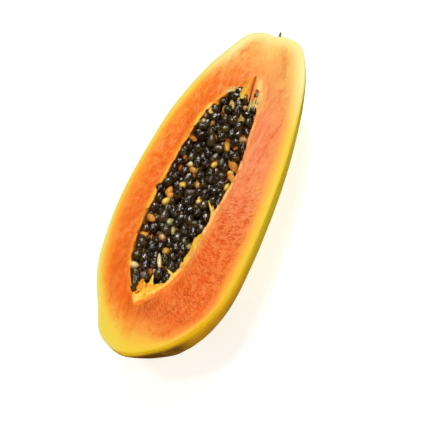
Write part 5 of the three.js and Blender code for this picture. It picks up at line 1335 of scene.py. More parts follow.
class Bag:
    """Collects closed shells for one piece."""

    def __init__(self):
        self.v, self.f, self.m, self.n, self.a = [], [], [], 0, {}

    def add(self, V, F, mat=0, **attrs):
        self.v.append(V)
        self.f += [tuple(int(k) + self.n for k in f) for f in F]
        self.m += [mat] * len(F)
        self.n += len(V)
        for k in ("tint", "low", "under", "glow", "tone", "warm", "join", "deepen"):
            self.a.setdefault(k, []).append(np.broadcast_to(np.asarray(attrs.get(k, 0.0), float), (len(V),)))

    def build(self, name, mats):
        o = new_mesh(name, np.concatenate(self.v), self.f, mats, self.m)
        import bmesh
        bm = bmesh.new()
        bm.from_mesh(o.data)
        bmesh.ops.recalc_face_normals(bm, faces=bm.faces)
        bm.to_mesh(o.data)
        bm.free()
        for k, v in self.a.items():
            attribute(o, k, np.concatenate(v))
        return o


def place(o, slot, *nodes):
    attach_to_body(o, "root")
    if nodes:
        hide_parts(*nodes)
    return o


rng = np.random.default_rng(20)
half = place(build_half(), "flesh", "papaya_half")

LONG, WIDE = 1.20, 1.11
LOWER_SIDE = unit([-0.86, -0.30, -0.10])
WALL = np.array(CAVITY_LEFT)


def settle(row, k):
    """Lean a top seed on the +Y wall where it is near it, and tip it a little."""
    x, y, z, a, b, heading, tilt = row
    edge = np.interp(x, WALL[:, 0], WALL[:, 1]) - 0.6
    ry = math.hypot(a * LONG * math.sin(math.radians(heading)), b * WIDE * math.cos(math.radians(heading)))
    gap = edge - (y + ry)
    y += float(np.clip(gap - 0.1, -0.8, 3.2) * smooth(gap, 6.5, 3.0))
    z += float(0.55 * noise(np.array([[x, y, 7.0 * k]]), 1.0, 77)[0])
    z = min(z, -3.2) + 1.0 * float(smooth(gap, 4.0, 1.5))
    return (x, y, z, a, b, heading, tilt * 1.35 + 12 * math.cos(math.radians(heading)) + 9 * float(noise(np.array([[y, x, 3.0 * k]]), 1.0, 78)[0]))


groups = [[tuple(row) if len(row) > 7 else settle(row, k + 31 * g) for k, row in enumerate(rows)] for g, rows in enumerate(SEED_GROUPS)]
UNDEVELOPED = [(row[0], *settle(row[1:], 900 + i)[:6], row[7]) for i, row in enumerate(UNDEVELOPED)]


def fill_gaps():
    """Seeds of the layer between, wherever the top ones leave a gap."""
    tops = [row for rows in groups for row in rows if len(row) == 7] + [tuple(row[1:]) for row in UNDEVELOPED]
    top = np.array([row[:3] for row in tops])
    taken = [row[:3] for rows in groups for row in rows] + [tuple(row[1:4]) for row in UNDEVELOPED]
    taken = np.concatenate([np.array(taken, float), np.full((200, 3), 1e6)])
    count = int((taken[:, 0] < 1e5).sum())
    owner = [(row[:3], g) for g, rows in enumerate(groups) for row in rows]
    place_of, group_of = np.array([o[0] for o in owner]), [o[1] for o in owner]
    left, right = np.array(CAVITY_LEFT), np.array(CAVITY_RIGHT)
    gen = np.random.default_rng(7)
    for u, v, w, p, q, r_, h, i, j in gen.random((26000, 9)):
        x = -92 + 176 * u
        hi, lo = np.interp(x, left[:, 0], left[:, 1]), np.interp(x, right[:, 0], right[:, 1])
        if hi - lo < 9:
            continue
        c = np.array([x, lo + 3.2 + (hi - lo - 5.6) * v, -7.2 - 2.2 * w])
        if np.min(np.linalg.norm(top[:, :2] - c[:2], axis=1)) < 3.1 + 0.25 * p:
            continue
        if count >= len(taken) or np.min(np.linalg.norm(taken - c, axis=1)) < 4.1:
            continue
        row = (*c, 3.2 + 0.5 * q, 2.5 + 0.4 * r_, (0, -20, -50, 30)[int(h * 4)] + 24 * (i - 0.5), 26 * (j - 0.5))
        taken[count] = c
        count += 1
        groups[group_of[int(np.argmin(np.linalg.norm(place_of - c, axis=1)))]].append(row)


fill_gaps()
# a long slender seed that leans on the +Y wall
c = spot(-30.8, 76.0, -2.5)
place_in = min(range(len(groups)), key=lambda g: min(math.dist(c - [0, 0, CUT], row[:3]) for row in groups[g]))
groups[place_in].append((c[0], c[1], c[2] - CUT, 4.0, 2.1, 24.0, 6.0))
shells = {}
for g, rows in enumerate(groups):
    for k, row in enumerate(rows):
        low = len(row) > 7
        shells[g, k] = shell_of(row, LONG if not low else 1.05, WIDE if not low else 1.05)
for i, row in enumerate(UNDEVELOPED):
    shells["pale", i] = shell_of(row[1:], 1.04, 1.14)
shells["rim", 0] = shell_of(RIM_SEED, 1.14, 1.18)
shells["flat", 0] = shell_of(FLAT_SEED)
ALL = list(shells.values())
CENTRES = np.array([s[0] for s in ALL])


def near(me):
    d = np.linalg.norm(CENTRES - me[0], axis=1)
    return [ALL[i] for i in np.nonzero((d > 0.01) & (d < 11))[0]]


number = 0
for gi, rows in enumerate(groups):
    bag = Bag()
    for k, row in enumerate(rows):
        number += 1
        low = len(row) > 7
        me = shells[gi, k]
        wrinkled = rng.random() ** 3
        V, F, under = seed_mesh(row, number, BALL_LOW if low else BALL_FINE, lumpy=0.10, wrinkle=0.026 + 0.05 * wrinkled, beak=0.10,
                                long=LONG if not low else 1.05, wide=WIDE if not low else 1.05, others=near(me))
        side = (V - me[0]) @ LOWER_SIDE / me[2][1]
        glow = smooth(side, 0.1, 0.95) * rng.random() ** 1.3 * (0.0 if low else 0.9)
        filler = k >= len(SEED_GROUPS[gi])
        warm = (0.9 if rng.random() < (0.34 if filler else 0.0) else 0.0) * (0.4 + 0.6 * rng.random())
        # lower-layer seeds and the plain fillers are painted darker as shade deep in the pile, and each seed darker on
        # its underside as painted shade
        bag.add(V, F, 0, tint=rng.random(), low=float(low) if low else 0.5 * filler * (warm == 0), under=under, glow=glow, warm=warm)
        # the thin thread that held the seed to the wall
        fr = frame_of(row[5], row[6])
        tip = np.array([row[0], row[1], CUT + row[2]]) + fr[0] * row[3] * 1.02
        side = rng.normal(0, 1.0, 3)
        end = tip + fr[0] * 1.6 + [0, 0, -2.8 if not low else -1.6] + side * 0.6
        V, F = tube(curve([tip - fr[0] * 0.5, (tip + end) / 2 + side * 0.25, end], 7), np.linspace(0.42, 0.2, 7), 5, number)
        bag.add(V, F, 1)
    place(bag.build("seeds_%02d" % (gi + 1), [SEED, FIBRE["brown"]]), "ripe_seed", "seed_group_%02d" % (gi + 1))

for i, (key, *row) in enumerate(UNDEVELOPED):
    bag = Bag()
    me = shells["pale", i]
    V, F, under = seed_mesh(row, 400 + i, BALL_FINE, lumpy=0.22, wrinkle=0.045, flat=0.92, beak=0.08, long=1.04, wide=1.14, others=near(me))
    bag.add(V, F, 0, tint=rng.random(), under=under)
    place(bag.build("pale_seed_%02d" % (i + 1), [PALE[key]]), "pale_seed", "undeveloped_seed_%02d" % (i + 1))

bag = Bag()
V, F, under = seed_mesh(RIM_SEED, 500, BALL_FINE, lumpy=0.03, wrinkle=0.012, beak=0.05, long=1.14, wide=1.18, others=near(shells["rim", 0]))
# the rim seed's darkening is its own near-black colour, with a little painted shade underneath
bag.add(V, F, 0, tint=0.3, under=0.3 * under, low=0.7)
place(bag.build("seed_on_rim", [SEED]), "ripe_seed", "rim_seed")

bag = Bag()
V, F, under = seed_mesh(FLAT_SEED, 501, BALL_FINE, lumpy=0.08, wrinkle=0.03, flat=0.7, beak=0.2)
bag.add(V, F, 0, tint=0.9, under=under)
place(bag.build("seed_flat", [PALE["grey"]]), "ripe_seed", "flat_seed")
print("seeds", number)


# ---------------------------------------------------------------- fibre and membrane
def strand(bag, pts, width, flat=0.45, n=16, sides=8, lumpy=0.25, mat=0, seed=0, tone=0.0):
    """A strand through (t, s, z) places of the view frame, width in mm."""
    P = curve([spot(*p) for p in pts], n)
    w = np.interp(np.linspace(0, 1, n), np.linspace(0, 1, len(width)), width) / 2
    V, F = tube(P, w, sides, seed, lumpy, flat)
    bag.add(V, F, mat, tint=rng.random(), tone=tone)


EDGE_L = curve(np.array([(-19.5, -124, 0), (-34.8, -104, 0), (-43.3, -82, 0), (-47.3, -50, 0), (-46.7, -11, 0), (-44.4, 16, 0), (-39.6, 55, 0), (-36.4, 72, 0), (-31.2, 88, 0),
                         (-17.5, 110, 0), (-10.4, 121, 0), (-0.6, 131, 0)]), 160)
EDGE_R = curve(np.array([(-19.5, -124, 0), (-8, -113, 0), (3, -95, 0), (9.8, -77, 0), (14.3, -55, 0), (16.7, -31, 0), (18.9, -4, 0), (22, 23, 0), (22, 50, 0),
                         (19.7, 73, 0), (17.8, 92, 0), (16, 109, 0), (12.4, 121, 0), (7.3, 129, 0)]), 160)
CAVITY = np.concatenate([EDGE_L[:, :2], EDGE_R[::-1, :2]])


def inside(T, S, poly):
    hit = np.zeros(T.shape, bool)
    P, Q = poly, np.roll(poly, -1, 0)
    for (a, b), (c, d) in zip(P, Q):
        if b == d:
            continue
        cross = (S > min(b, d)) & (S <= max(b, d)) & (T < a + (S - b) * (c - a) / (d - b))
        hit ^= cross
    return hit


def to_line(T, S, pts):
    """Distance in the view frame from each point to an open line."""
    P = np.asarray(pts, float)
    best = np.full(T.shape, 1e9)
    if len(P) == 1:
        return np.hypot(T - P[0, 0], S - P[0, 1])
    for (a, b), (c, d) in zip(P[:-1], P[1:]):
        u = np.clip(((T - a) * (c - a) + (S - b) * (d - b)) / ((c - a) ** 2 + (d - b) ** 2), 0, 1)
        best = np.minimum(best, np.hypot(T - a - u * (c - a), S - b - u * (d - b)))
    return best


def patch(bag, outline, base, marks, mat=0, step=0.42, thick=0.9, ragged=0.7, grain=(1.0, 1.0), lumps=0.35, seed=0, attach=2.2, lift=0.18, join=0.8, deepen=1.0):
    """A ragged sheet of tissue over an outline in the view frame. base is its height
    over the cut face and its tone; marks are (line, half width, height, tone)."""
    P = np.asarray(outline, float)
    dense = []
    for a, b in zip(P, np.roll(P, -1, 0)):
        k = max(2, int(np.linalg.norm(b - a) / 0.5))
        dense += [a + (b - a) * i / k for i in range(k)]
    dense = np.array(dense)
    p3 = np.c_[dense, np.zeros(len(dense))]
    dense += ragged * np.stack([fbm(p3, 2.6, 300 + seed, 2), fbm(p3, 2.6, 320 + seed, 2)], 1)
    t0, s0 = dense.min(0) - step * 2
    t1, s1 = dense.max(0) + step * 2
    tc, sc = np.arange(t0, t1, step), np.arange(s0, s1, step)
    T, S = np.meshgrid(tc, sc, indexing="ij")
    M = inside(T, S, dense)
    for _ in range(12):  # no cells that meet at a corner only
        a, b, c, d = M[:-1, :-1], M[1:, :-1], M[:-1, 1:], M[1:, 1:]
        one, two = a & d & ~b & ~c, b & c & ~a & ~d
        if not (one | two).any():
            break
        i, j = np.nonzero(one | two)
        for u, v in zip(i, j):
            if M[u, v]:
                M[u + 1, v] = True
            else:
                M[u, v] = True
    # keep the biggest island
    label, best, seen = np.zeros(M.shape, int), None, 0
    for u, v in zip(*np.nonzero(M)):
        if label[u, v]:
            continue
        seen += 1
        stack, size = [(u, v)], 0
        label[u, v] = seen
        while stack:
            x, y = stack.pop()
            size += 1
            for dx, dy in ((1, 0), (-1, 0), (0, 1), (0, -1)):
                p, q = x + dx, y + dy
                if M[p, q] and not label[p, q]:
                    label[p, q] = seen
                    stack.append((p, q))
        if best is None or size > best[0]:
            best = (size, seen)
    M = label == best[1]
    # how many cells in from the edge each node is
    nodes = np.zeros((M.shape[0] + 1, M.shape[1] + 1), int)
    cells = np.zeros(nodes.shape, int)
    for du in (0, 1):
        for dv in (0, 1):
            cells[du:du + M.shape[0], dv:dv + M.shape[1]] += M
    used = cells > 0
    layer = (cells == 4)
    deep = np.zeros(nodes.shape)
    for _ in range(8):
        deep += layer
        e = layer.copy()
        e[1:] &= layer[:-1]
        e[:-1] &= layer[1:]
        e[:, 1:] &= layer[:, :-1]
        e[:, :-1] &= layer[:, 1:]
        layer = e
    NT_, NS_ = np.meshgrid(np.append(tc, tc[-1] + step) - step / 2, np.append(sc, sc[-1] + step) - step / 2, indexing="ij")
    edge = used & (cells < 4)
    for _ in range(4):  # ease the stairs of the outline
        sumt, sums, cnt = np.zeros(nodes.shape), np.zeros(nodes.shape), np.zeros(nodes.shape)
        for du, dv in ((1, 0), (-1, 0), (0, 1), (0, -1)):
            sh = np.roll(np.roll(edge, du, 0), dv, 1)
            sumt += np.where(sh, np.roll(np.roll(NT_, du, 0), dv, 1), 0)
            sums += np.where(sh, np.roll(np.roll(NS_, du, 0), dv, 1), 0)
            cnt += sh
        ok = edge & (cnt == 2)
        NT_ = np.where(ok, 0.5 * NT_ + 0.5 * sumt / np.maximum(cnt, 1), NT_)
        NS_ = np.where(ok, 0.5 * NS_ + 0.5 * sums / np.maximum(cnt, 1), NS_)
    ids = np.full(nodes.shape, -1)
    ids[used] = np.arange(used.sum())
    t, s, dp = NT_[used], NS_[used], deep[used]
    h, tone = np.full(len(t), float(base[0])), np.full(len(t), float(base[1]))
    for line, half, dz, value in marks:
        d = to_line(t, s, line)
        w = smooth(d + 0.35 * noise(np.c_[t, s, 0 * t], 2.0, 340 + seed), half * 1.35, half * 0.45)
        if dz is not None:
            h += (dz - h) * w
        if value is not None:
            tone += (value - tone) * w
    q = np.c_[t * grain[0], s * grain[1], 0 * t]
    lump = fbm(q, 2.2, 360 + seed, 3)
    h += lumps * lump
    tone += 0.10 * lump
    # where it meets the flesh it laps over the cavity's edge and thins out
    rimd = np.minimum(to_line(t, s, EDGE_L[::4, :2]), to_line(t, s, EDGE_R[::4, :2]))
    rimd = np.where(inside(t, s, CAVITY), rimd, -rimd)
    prof = np.sqrt(1 - (1 - np.clip((dp + 0.35) / 4.0, 0, 1)) ** 2)
    half_th = 0.5 * thick * prof
    z = h - 0.5 * thick + half_th
    near_rim = smooth(rimd, attach + 1.6, attach)
    z = z + (lift - z) * near_rim
    z = np.minimum(z, lift) - smooth(rimd, 0.8, -0.6) * (lift + 0.16) * smooth(dp, 4.5, 0.0)
    tip = 0.35 * noise(np.c_[t, s, 0 * t], 1.8, 380 + seed)
    blend = join * smooth(rimd + 2 * tip, 1.0, -2.2)
    top = np.array([spot(a, b, c) for a, b, c in zip(t, s, z)])
    low = np.array([spot(a, b, c) for a, b, c in zip(t, s, z - 2 * half_th)])
    n = len(t)
    i, j = np.nonzero(M)
    quad = np.stack([ids[i, j], ids[i + 1, j], ids[i + 1, j + 1], ids[i, j + 1]], 1)
    faces = [tuple(f) for f in quad] + [tuple(f[::-1] + n) for f in quad]
    pairs = {}
    for f in quad:
        for k in range(4):
            a, b = int(f[k]), int(f[(k + 1) % 4])
            if (b, a) in pairs:
                del pairs[(b, a)]
            else:
                pairs[(a, b)] = 1
    faces += [(b, a, a + n, b + n) for a, b in pairs]
    # the underside copy of each sheet is painted a little darker as painted shade
    bag.add(np.concatenate([top, low]), faces, mat, tone=np.clip(np.concatenate([tone, tone - 0.12]), 0, 1), join=np.concatenate([blend, blend]), deepen=deepen, tint=0.5)


def border(edge, sign, stations):
    """Outline of a strip along one side: (s, width in the view frame) pairs."""
    s = [a for a, _ in stations]
    fine = np.linspace(s[0], s[-1], max(6, int(abs(s[-1] - s[0]) / 1.5)))
    w = np.interp(fine, s, [b for _, b in stations])
    t = np.interp(fine, edge[:, 1], edge[:, 0])
    return [(a + sign * 2.4, b) for a, b in zip(t, fine)] + [(a - sign * c, b) for a, b, c in zip(t, fine, w)][::-1]


# sheet and frayed fibres round the flat seed at the stem end
bag = Bag()
patch(bag, [(0.5, 137), (0.7, 130), (1.8, 120), (2.9, 114), (4.1, 108), (4.7, 103.8), (5.9, 104.5), (6.4, 108.5), (7.2, 103.6), (8.6, 102.2), (9.6, 105.0), (11.0, 101.2),
            (12.6, 102.8), (14.4, 99.0), (16.0, 94), (19.0, 97), (20.6, 104), (19.4, 113), (17.6, 121), (14.6, 128.5), (10.6, 134), (6, 136)], (0.16, 0.52),
      [([(1.6, 131), (1.8, 125), (3.0, 117), (4.4, 109)], 2.2, 0.1, 0.42), ([(1.0, 128), (2.4, 116), (4.2, 105)], 0.5, -0.4, 0.22),
       ([(6.4, 129), (6.8, 125), (8.2, 121.5)], 2.3, 0.16, 0.78), ([(11.4, 117), (12.2, 110), (12.2, 103)], 2.2, -0.1, 0.76),
       ([(7.0, 117.6), (7.7, 115.2), (8.4, 112.8)], 1.7, -2.1, 0.52), ([(5.8, 110), (6.8, 106)], 1.0, -0.9, 0.60), ([(6.2, 114.2), (6.9, 111.6)], 0.7, -2.2, 0.08),
       ([(10.0, 108.6), (9.6, 106)], 0.5, -0.9, 0.16), ([(12.8, 108.4), (12.4, 105.6)], 0.4, -0.8, 0.22), ([(9.2, 118), (9.9, 113), (9.6, 110)], 0.5, -0.7, 0.36),
       ([(14.2, 118), (15.2, 110), (14.8, 103)], 1.2, 0.16, 0.56)],
      4, 0.40, 1.0, 0.5, (1.0, 0.35), 0.26, 1, 1.0, 0.2, 1.0, 0.0)
for k, (t, s, e, mat, tone, w) in enumerate([(9.8, 119, 2.6, 4, 0.8, 1.0), (11.6, 115, 1.8, 4, 0.72, 1.2), (8.8, 111.4, 1.0, 2, 0.78, 1.3), (7.4, 110.6, 0.6, 2, 0.62, 1.2), (10.4, 112.4, 1.5, 2, 0.92, 1.0),
                                             (13.2, 118, 1.6, 4, 0.64, 1.1), (12.2, 122, 2.8, 4, 0.86, 1.2), (5.0, 111.6, 0.4, 4, 0.70, 1.0), (6.2, 107.6, 0.8, 2, 0.84, 1.1), (14.6, 112, 1.2, 4, 0.58, 1.0),
                                             (9.5, 109.6, 0.9, 3, 0.10, 0.7), (11.8, 109.0, 0.8, 3, 0.14, 0.6), (6.5, 114.4, 0.8, 3, 0.04, 1.1), (13.8, 108.4, 0.6, 3, 0.30, 0.5), (16.6, 110.0, 0.4, 3, 0.36, 0.4)]):
    n = 0.35 if mat == 3 else 1.0
    strand(bag, [(t, s, 0.10), (t + e * 0.35, s - 5 * n, 0.05), (t + e * 0.7, s - 10 * n, -0.4 * n), (t + e * 0.85, s - 14 * n, -2.0 * n)], [0.3 * w, 0.75 * w, 0.75 * w, 0.3 * w], 0.5, 18, 7, 0.3, mat=mat, seed=2 + k, tone=tone)
place(bag.build("stem_fibre_flap", [TISSUE[0], FIBRE["cream"], TISSUE[2], TISSUE[3], TISSUE[4]]), "fibre", "fibre_flap")

# tissue of the closed tip of the cavity at the stem end, up to the slit
bag = Bag()
patch(bag, [(-7, 135), (-1.2, 136), (-0.7, 129), (-0.1, 122), (0.9, 116), (2.1, 110), (3.5, 104.4), (3.0, 103.6), (1.8, 106.4), (0.2, 110.0), (-1.4, 111.0), (-2.9, 107.4),
            (-4.4, 104.6), (-6.4, 105.4), (-7.4, 109), (-7.3, 113), (-7.6, 116.4), (-9.6, 115.0), (-12.2, 112.4), (-13.4, 111.2), (-13.8, 114.4), (-11.8, 120), (-8.8, 125.6), (-6.0, 130.6)],
      (0.12, 0.40),
      # the first mark is painted shadow: a darker line along the tissue's left edge, where shade falls
      [([(-6.0, 127), (-7.8, 122), (-10.2, 116.4)], 1.2, -0.05, 0.26), ([(-4.5, 131), (-4.6, 124)], 3.2, 0.16, 0.44), ([(-4.6, 120), (-4.8, 112), (-5.2, 106)], 2.4, -0.2, 0.58), ([(-1.4, 130), (-0.4, 120), (1.6, 109)], 0.7, -0.1, 0.32)],
      0, 0.40, 1.0, 0.45, (1.0, 0.35), 0.22, 11, 1.0, 0.2, 1.0, 0.12)
patch(bag, [(-26.5, 107.4), (-23.4, 110.4), (-18.6, 113.6), (-14.2, 114.2), (-12.6, 111.2), (-15.0, 108.0), (-18.6, 105.8), (-22.0, 102.4), (-25.6, 99.4), (-27.4, 101.4)], (-0.3, 0.70),
      [([(-21, 106.6), (-16, 109.6)], 1.4, -0.8, 0.86)], 2, 0.40, 0.9, 0.6, (0.5, 1.0), 0.4, 12, 1.2, 0.2, 1.0, 0.6)
patch(bag, [(-6.8, 121.6), (-4.8, 124.0), (-3.0, 121.0), (-1.6, 116), (-0.6, 111.4), (-1.6, 108.2), (-3.2, 105.4), (-5.6, 104.8), (-8.0, 107.4), (-8.2, 112), (-7.8, 117)], (0.02, 0.66),
      [([(-3.4, 115), (-4.0, 110), (-4.8, 106)], 1.6, -0.1, 0.80), ([(-5.0, 122), (-4.4, 118)], 1.6, 0.06, 0.50), ([(-6.6, 116), (-6.8, 110)], 0.7, -0.2, 0.44), ([(-1.6, 113), (-1.4, 110)], 0.5, -0.1, 0.40)],
      5, 0.40, 0.6, 0.6, (1.0, 0.35), 0.2, 13, -3, 0.2, 0.0, 0.0)
place(bag.build("stem_tissue_left", [TISSUE[0], FIBRE["yellow"], TISSUE[2], TISSUE[3], TISSUE[4], TISSUE[5]]), "fibre")
# painted shade: a dark strand laid in the slit up the stem tissue, standing in for the shade in the slit
bag = Bag()
strand(bag, [(-0.6, 134, -0.7), (0.4, 124, -1.0), (1.4, 116, -1.5), (3.2, 108, -2.2), (4.2, 102, -4.6)], [1.5, 2.5, 2.8, 2.5, 1.2], 0.5, 26, 12, 0.14, seed=21, tone=0.15)
place(bag.build("stem_slit_shade_strand", [TISSUE[0]]), "fibre")

# membrane at the blossom end of the cavity
bag = Bag()
patch(bag, [(-19.0, -130), (-23.0, -126.5), (-26.0, -121), (-25.4, -117), (-22.4, -113.6), (-23.4, -109.5), (-21.8, -104.4), (-19.4, -101.6), (-16.6, -103.4), (-14.2, -100.6), (-14.3, -96),
            (-13.6, -91.2), (-12.2, -94.2), (-10.4, -99.0), (-9.0, -101.2), (-6.8, -99.6), (-4.6, -98.8), (-3.0, -96.6), (0.2, -95.6), (2.0, -92.4), (2.8, -88.0), (2.2, -85.4), (-0.6, -83.6),
            (-3.6, -81.8), (-5.2, -79.6), (-2.0, -80.4), (1.6, -82.4), (4.4, -83.2), (6.0, -80.0), (7.6, -76), (13.6, -72.5), (15.0, -78), (12.6, -88), (9.0, -97), (4.6, -105), (-1.6, -112.5), (-8, -120), (-13.6, -127)],
      (-1.0, 0.60),
      [([(-19.6, -123), (-19.6, -118), (-17.0, -112)], 3.4, 0.1, 0.80), ([(-17, -112), (-12, -107.5), (-6, -103.5)], 2.4, -0.3, 0.68),
       ([(-13, -104.5), (-8.6, -103.2)], 2.0, -1.3, 0.54), ([(-13.4, -92), (-12.2, -97), (-10.8, -101)], 1.3, -0.5, 0.88),
       ([(-11.4, -112.6), (-5.6, -106.6), (-1.0, -100.6), (2.2, -95.0), (4.2, -90), (5.6, -85)], 1.5, 0.1, 0.80), ([(-9, -116.0), (-2.0, -109), (3.6, -101.6), (7.6, -94), (10.2, -86)], 1.6, 0.12, 0.46),
       ([(-9.6, -112.6), (-6.4, -110.6)], 0.6, -0.4, 0.40), ([(-21, -104), (-19.6, -110), (-21.6, -115)], 2.0, -1.6, 0.44), ([(-15.8, -103.6), (-15.4, -106.6)], 0.8, -2.0, 0.34),
       ([(3.6, -92), (4.4, -86), (7.4, -79)], 1.6, -0.4, 0.86), ([(-4.4, -80.4), (1.5, -83.4)], 1.2, -1.0, 0.90)], 1, 0.40, 1.1, 0.5, (1.0, 1.0), 0.30, 30, 1.2, 0.2, 1.0, 1.0)
for k in range(46):
    u = rng.random()
    t, s = -20.6 + rng.normal(0, 1.0), -109.0 + rng.normal(0, 3.2)
    r = 0.55 + 0.5 * rng.random()
    c = spot(t, s, -1.3 + rng.normal(0, 0.2))
    V, F, u = seed_mesh((c[0], c[1], c[2] - CUT, r * (1.1 + 0.5 * rng.random()), r, rng.random() * 360, rng.normal(0, 20)), 600 + k, BALL_LOW, 0.22, 0.05, 0.9, 0.0)
    bag.add(V, F, 0, tone=0.40 + 0.22 * rng.random())
place(bag.build("blossom_membrane", [TISSUE[0], TISSUE[1]]), "fibre")

# lining that laps in along the -Y side
bag = Bag()
patch(bag, border(EDGE_R, 1, [(-38, 1.6), (-33, 2.2), (-28, 2.3), (-22, 2.2), (-14, 2.4), (-9, 2.0), (-2, 1.2)]), (-0.70, 0.72), [], 5, 0.42, 0.9, 1.0, (1.0, 1.0), 0.4, 44)
patch(bag, border(EDGE_R, 1, [(-76, 2.6), (-70, 4.2), (-60, 4.4), (-50, 5.2), (-42, 5.6), (-37, 4.4), (-34.5, 2.0)]), (-0.75, 0.60),
      [([(9.4, -74), (11.2, -60), (12.6, -48), (12.8, -38)], 1.8, -0.5, 0.72), ([(8.6, -60), (9.6, -50)], 1.0, -1.4, 0.50), ([(13.4, -66), (15.4, -50), (16.6, -34), (18, -14)], 1.1, -0.45, 0.54),
       ([(12.4, -70), (13.8, -58), (14.6, -44)], 0.8, -0.55, 0.82)], 0, 0.42, 0.9, 1.1, (1.0, 1.0), 0.5, 41)
patch(bag, border(EDGE_R, 1, [(0, 0.8), (8, 1.0), (14, 1.5), (22, 1.4), (30, 1.0), (40, 1.2), (48, 0.8)]), (-0.6, 0.74),
      [([(21.6, 20), (21, 12), (19.6, 4)], 1.3, -0.6, 0.74)], 5, 0.45, 0.8, 0.9, (1.0, 0.7), 0.35, 42)
patch(bag, border(EDGE_R, 1, [(60, 0.8), (66, 2.2), (74, 1.2), (84, 1.6), (92, 2.0), (100, 1.6)]), (-0.7, 0.48),
      [([(17.2, 90), (18.4, 76)], 1.0, -0.6, 0.60)], 4, 0.45, 0.8, 0.9, (1.0, 0.7), 0.35, 43)
strand(bag, [(6.6, -1.6, -1.0), (9.0, -4.6, -0.8), (12.6, -8.4, -0.6), (15.6, -12, -0.6), (16.4, -18, -0.6)], [0.3, 1.0, 1.9, 2.8, 1.4], 0.42, 26, 12, 0.2, mat=2, seed=42)
strand(bag, [(13.0, -4.6, -1.2), (14.6, -8.4, -0.8), (16.6, -12, -0.6)], [0.4, 1.6, 1.8], 0.5, 16, 8, 0.2, mat=2, seed=47)
patch(bag, border(EDGE_R, 1, [(-103, 0.9), (-98, 2.0), (-93, 1.5), (-88, 2.6), (-83, 1.9), (-78, 2.8), (-72, 2.2), (-64, 1.8), (-56, 2.2), (-48, 1.8), (-40, 2.2), (-34, 1.2)]), (-0.12, 0.66), [], 5, 0.42, 0.7, 1.6, (1.0, 1.0), 0.5, 45)
place(bag.build("wall_lining_right", [TISSUE[0], FIBRE["cream"], FIBRE["yellow"], TISSUE[3], TISSUE[4], TISSUE[6]]), "fibre")

# lining that laps in along the +Y side
bag = Bag()
patch(bag, border(EDGE_L, -1, [(-34, 1.8), (-28, 3.4), (-20, 3.6), (-15, 3.0), (-11, 1.6)]), (-0.8, 0.54), [([(-44.2, -16), (-44.6, -28)], 1.2, -0.5, 0.62)], 0, 0.42, 0.9, 0.8, (1, 1), 0.4, 51)
patch(bag, border(EDGE_L, -1, [(-5, 2.6), (0, 4.2), (6, 3.4), (10, 4.4), (16, 2.4), (21, 3.6), (27, 1.8), (33, 2.9), (38, 1.6), (44, 2.6), (49, 3.8), (54, 1.8), (60, 2.2)]), (-0.7, 0.44),
      [([(-43.6, -2), (-44, 6), (-42, 18)], 1.2, -0.5, 0.54), ([(-41.4, 26), (-37.8, 50)], 0.8, -0.4, 0.52)], 0, 0.42, 0.9, 1.5, (1, 0.7), 0.6, 52)
patch(bag, border(EDGE_L, -1, [(60, 1.4), (64, 3.0), (68, 3.6), (74, 3.2), (79, 2.2), (84, 3.2), (90, 2.6), (98, 1.9), (105, 2.0)]), (-0.8, 0.54),
      [([(-31, 88), (-31.5, 82)], 1.6, -0.6, 0.84), ([(-36, 76), (-36.4, 70), (-35.5, 62)], 1.5, -0.7, 0.66), ([(-33.4, 72), (-33.6, 66)], 1.2, -1.4, 0.46)], 0, 0.42, 0.9, 0.9, (1, 0.7), 0.35, 53)
patch(bag, border(EDGE_L, -1, [(-112, 1.4), (-104, 1.8), (-96, 1.5), (-90, 2.9), (-85, 1.4), (-78, 2.2), (-72, 1.3), (-66, 2.2), (-58, 1.3), (-52, 2.4), (-46, 1.5), (-38, 2.0)]), (-0.7, 0.38),
      [([(-38.5, -92), (-40, -88)], 1.2, -0.6, 0.66)], 0, 0.45, 0.8, 1.4, (1, 0.7), 0.6, 54)
place(bag.build("wall_lining_left", [TISSUE[0]]), "fibre")

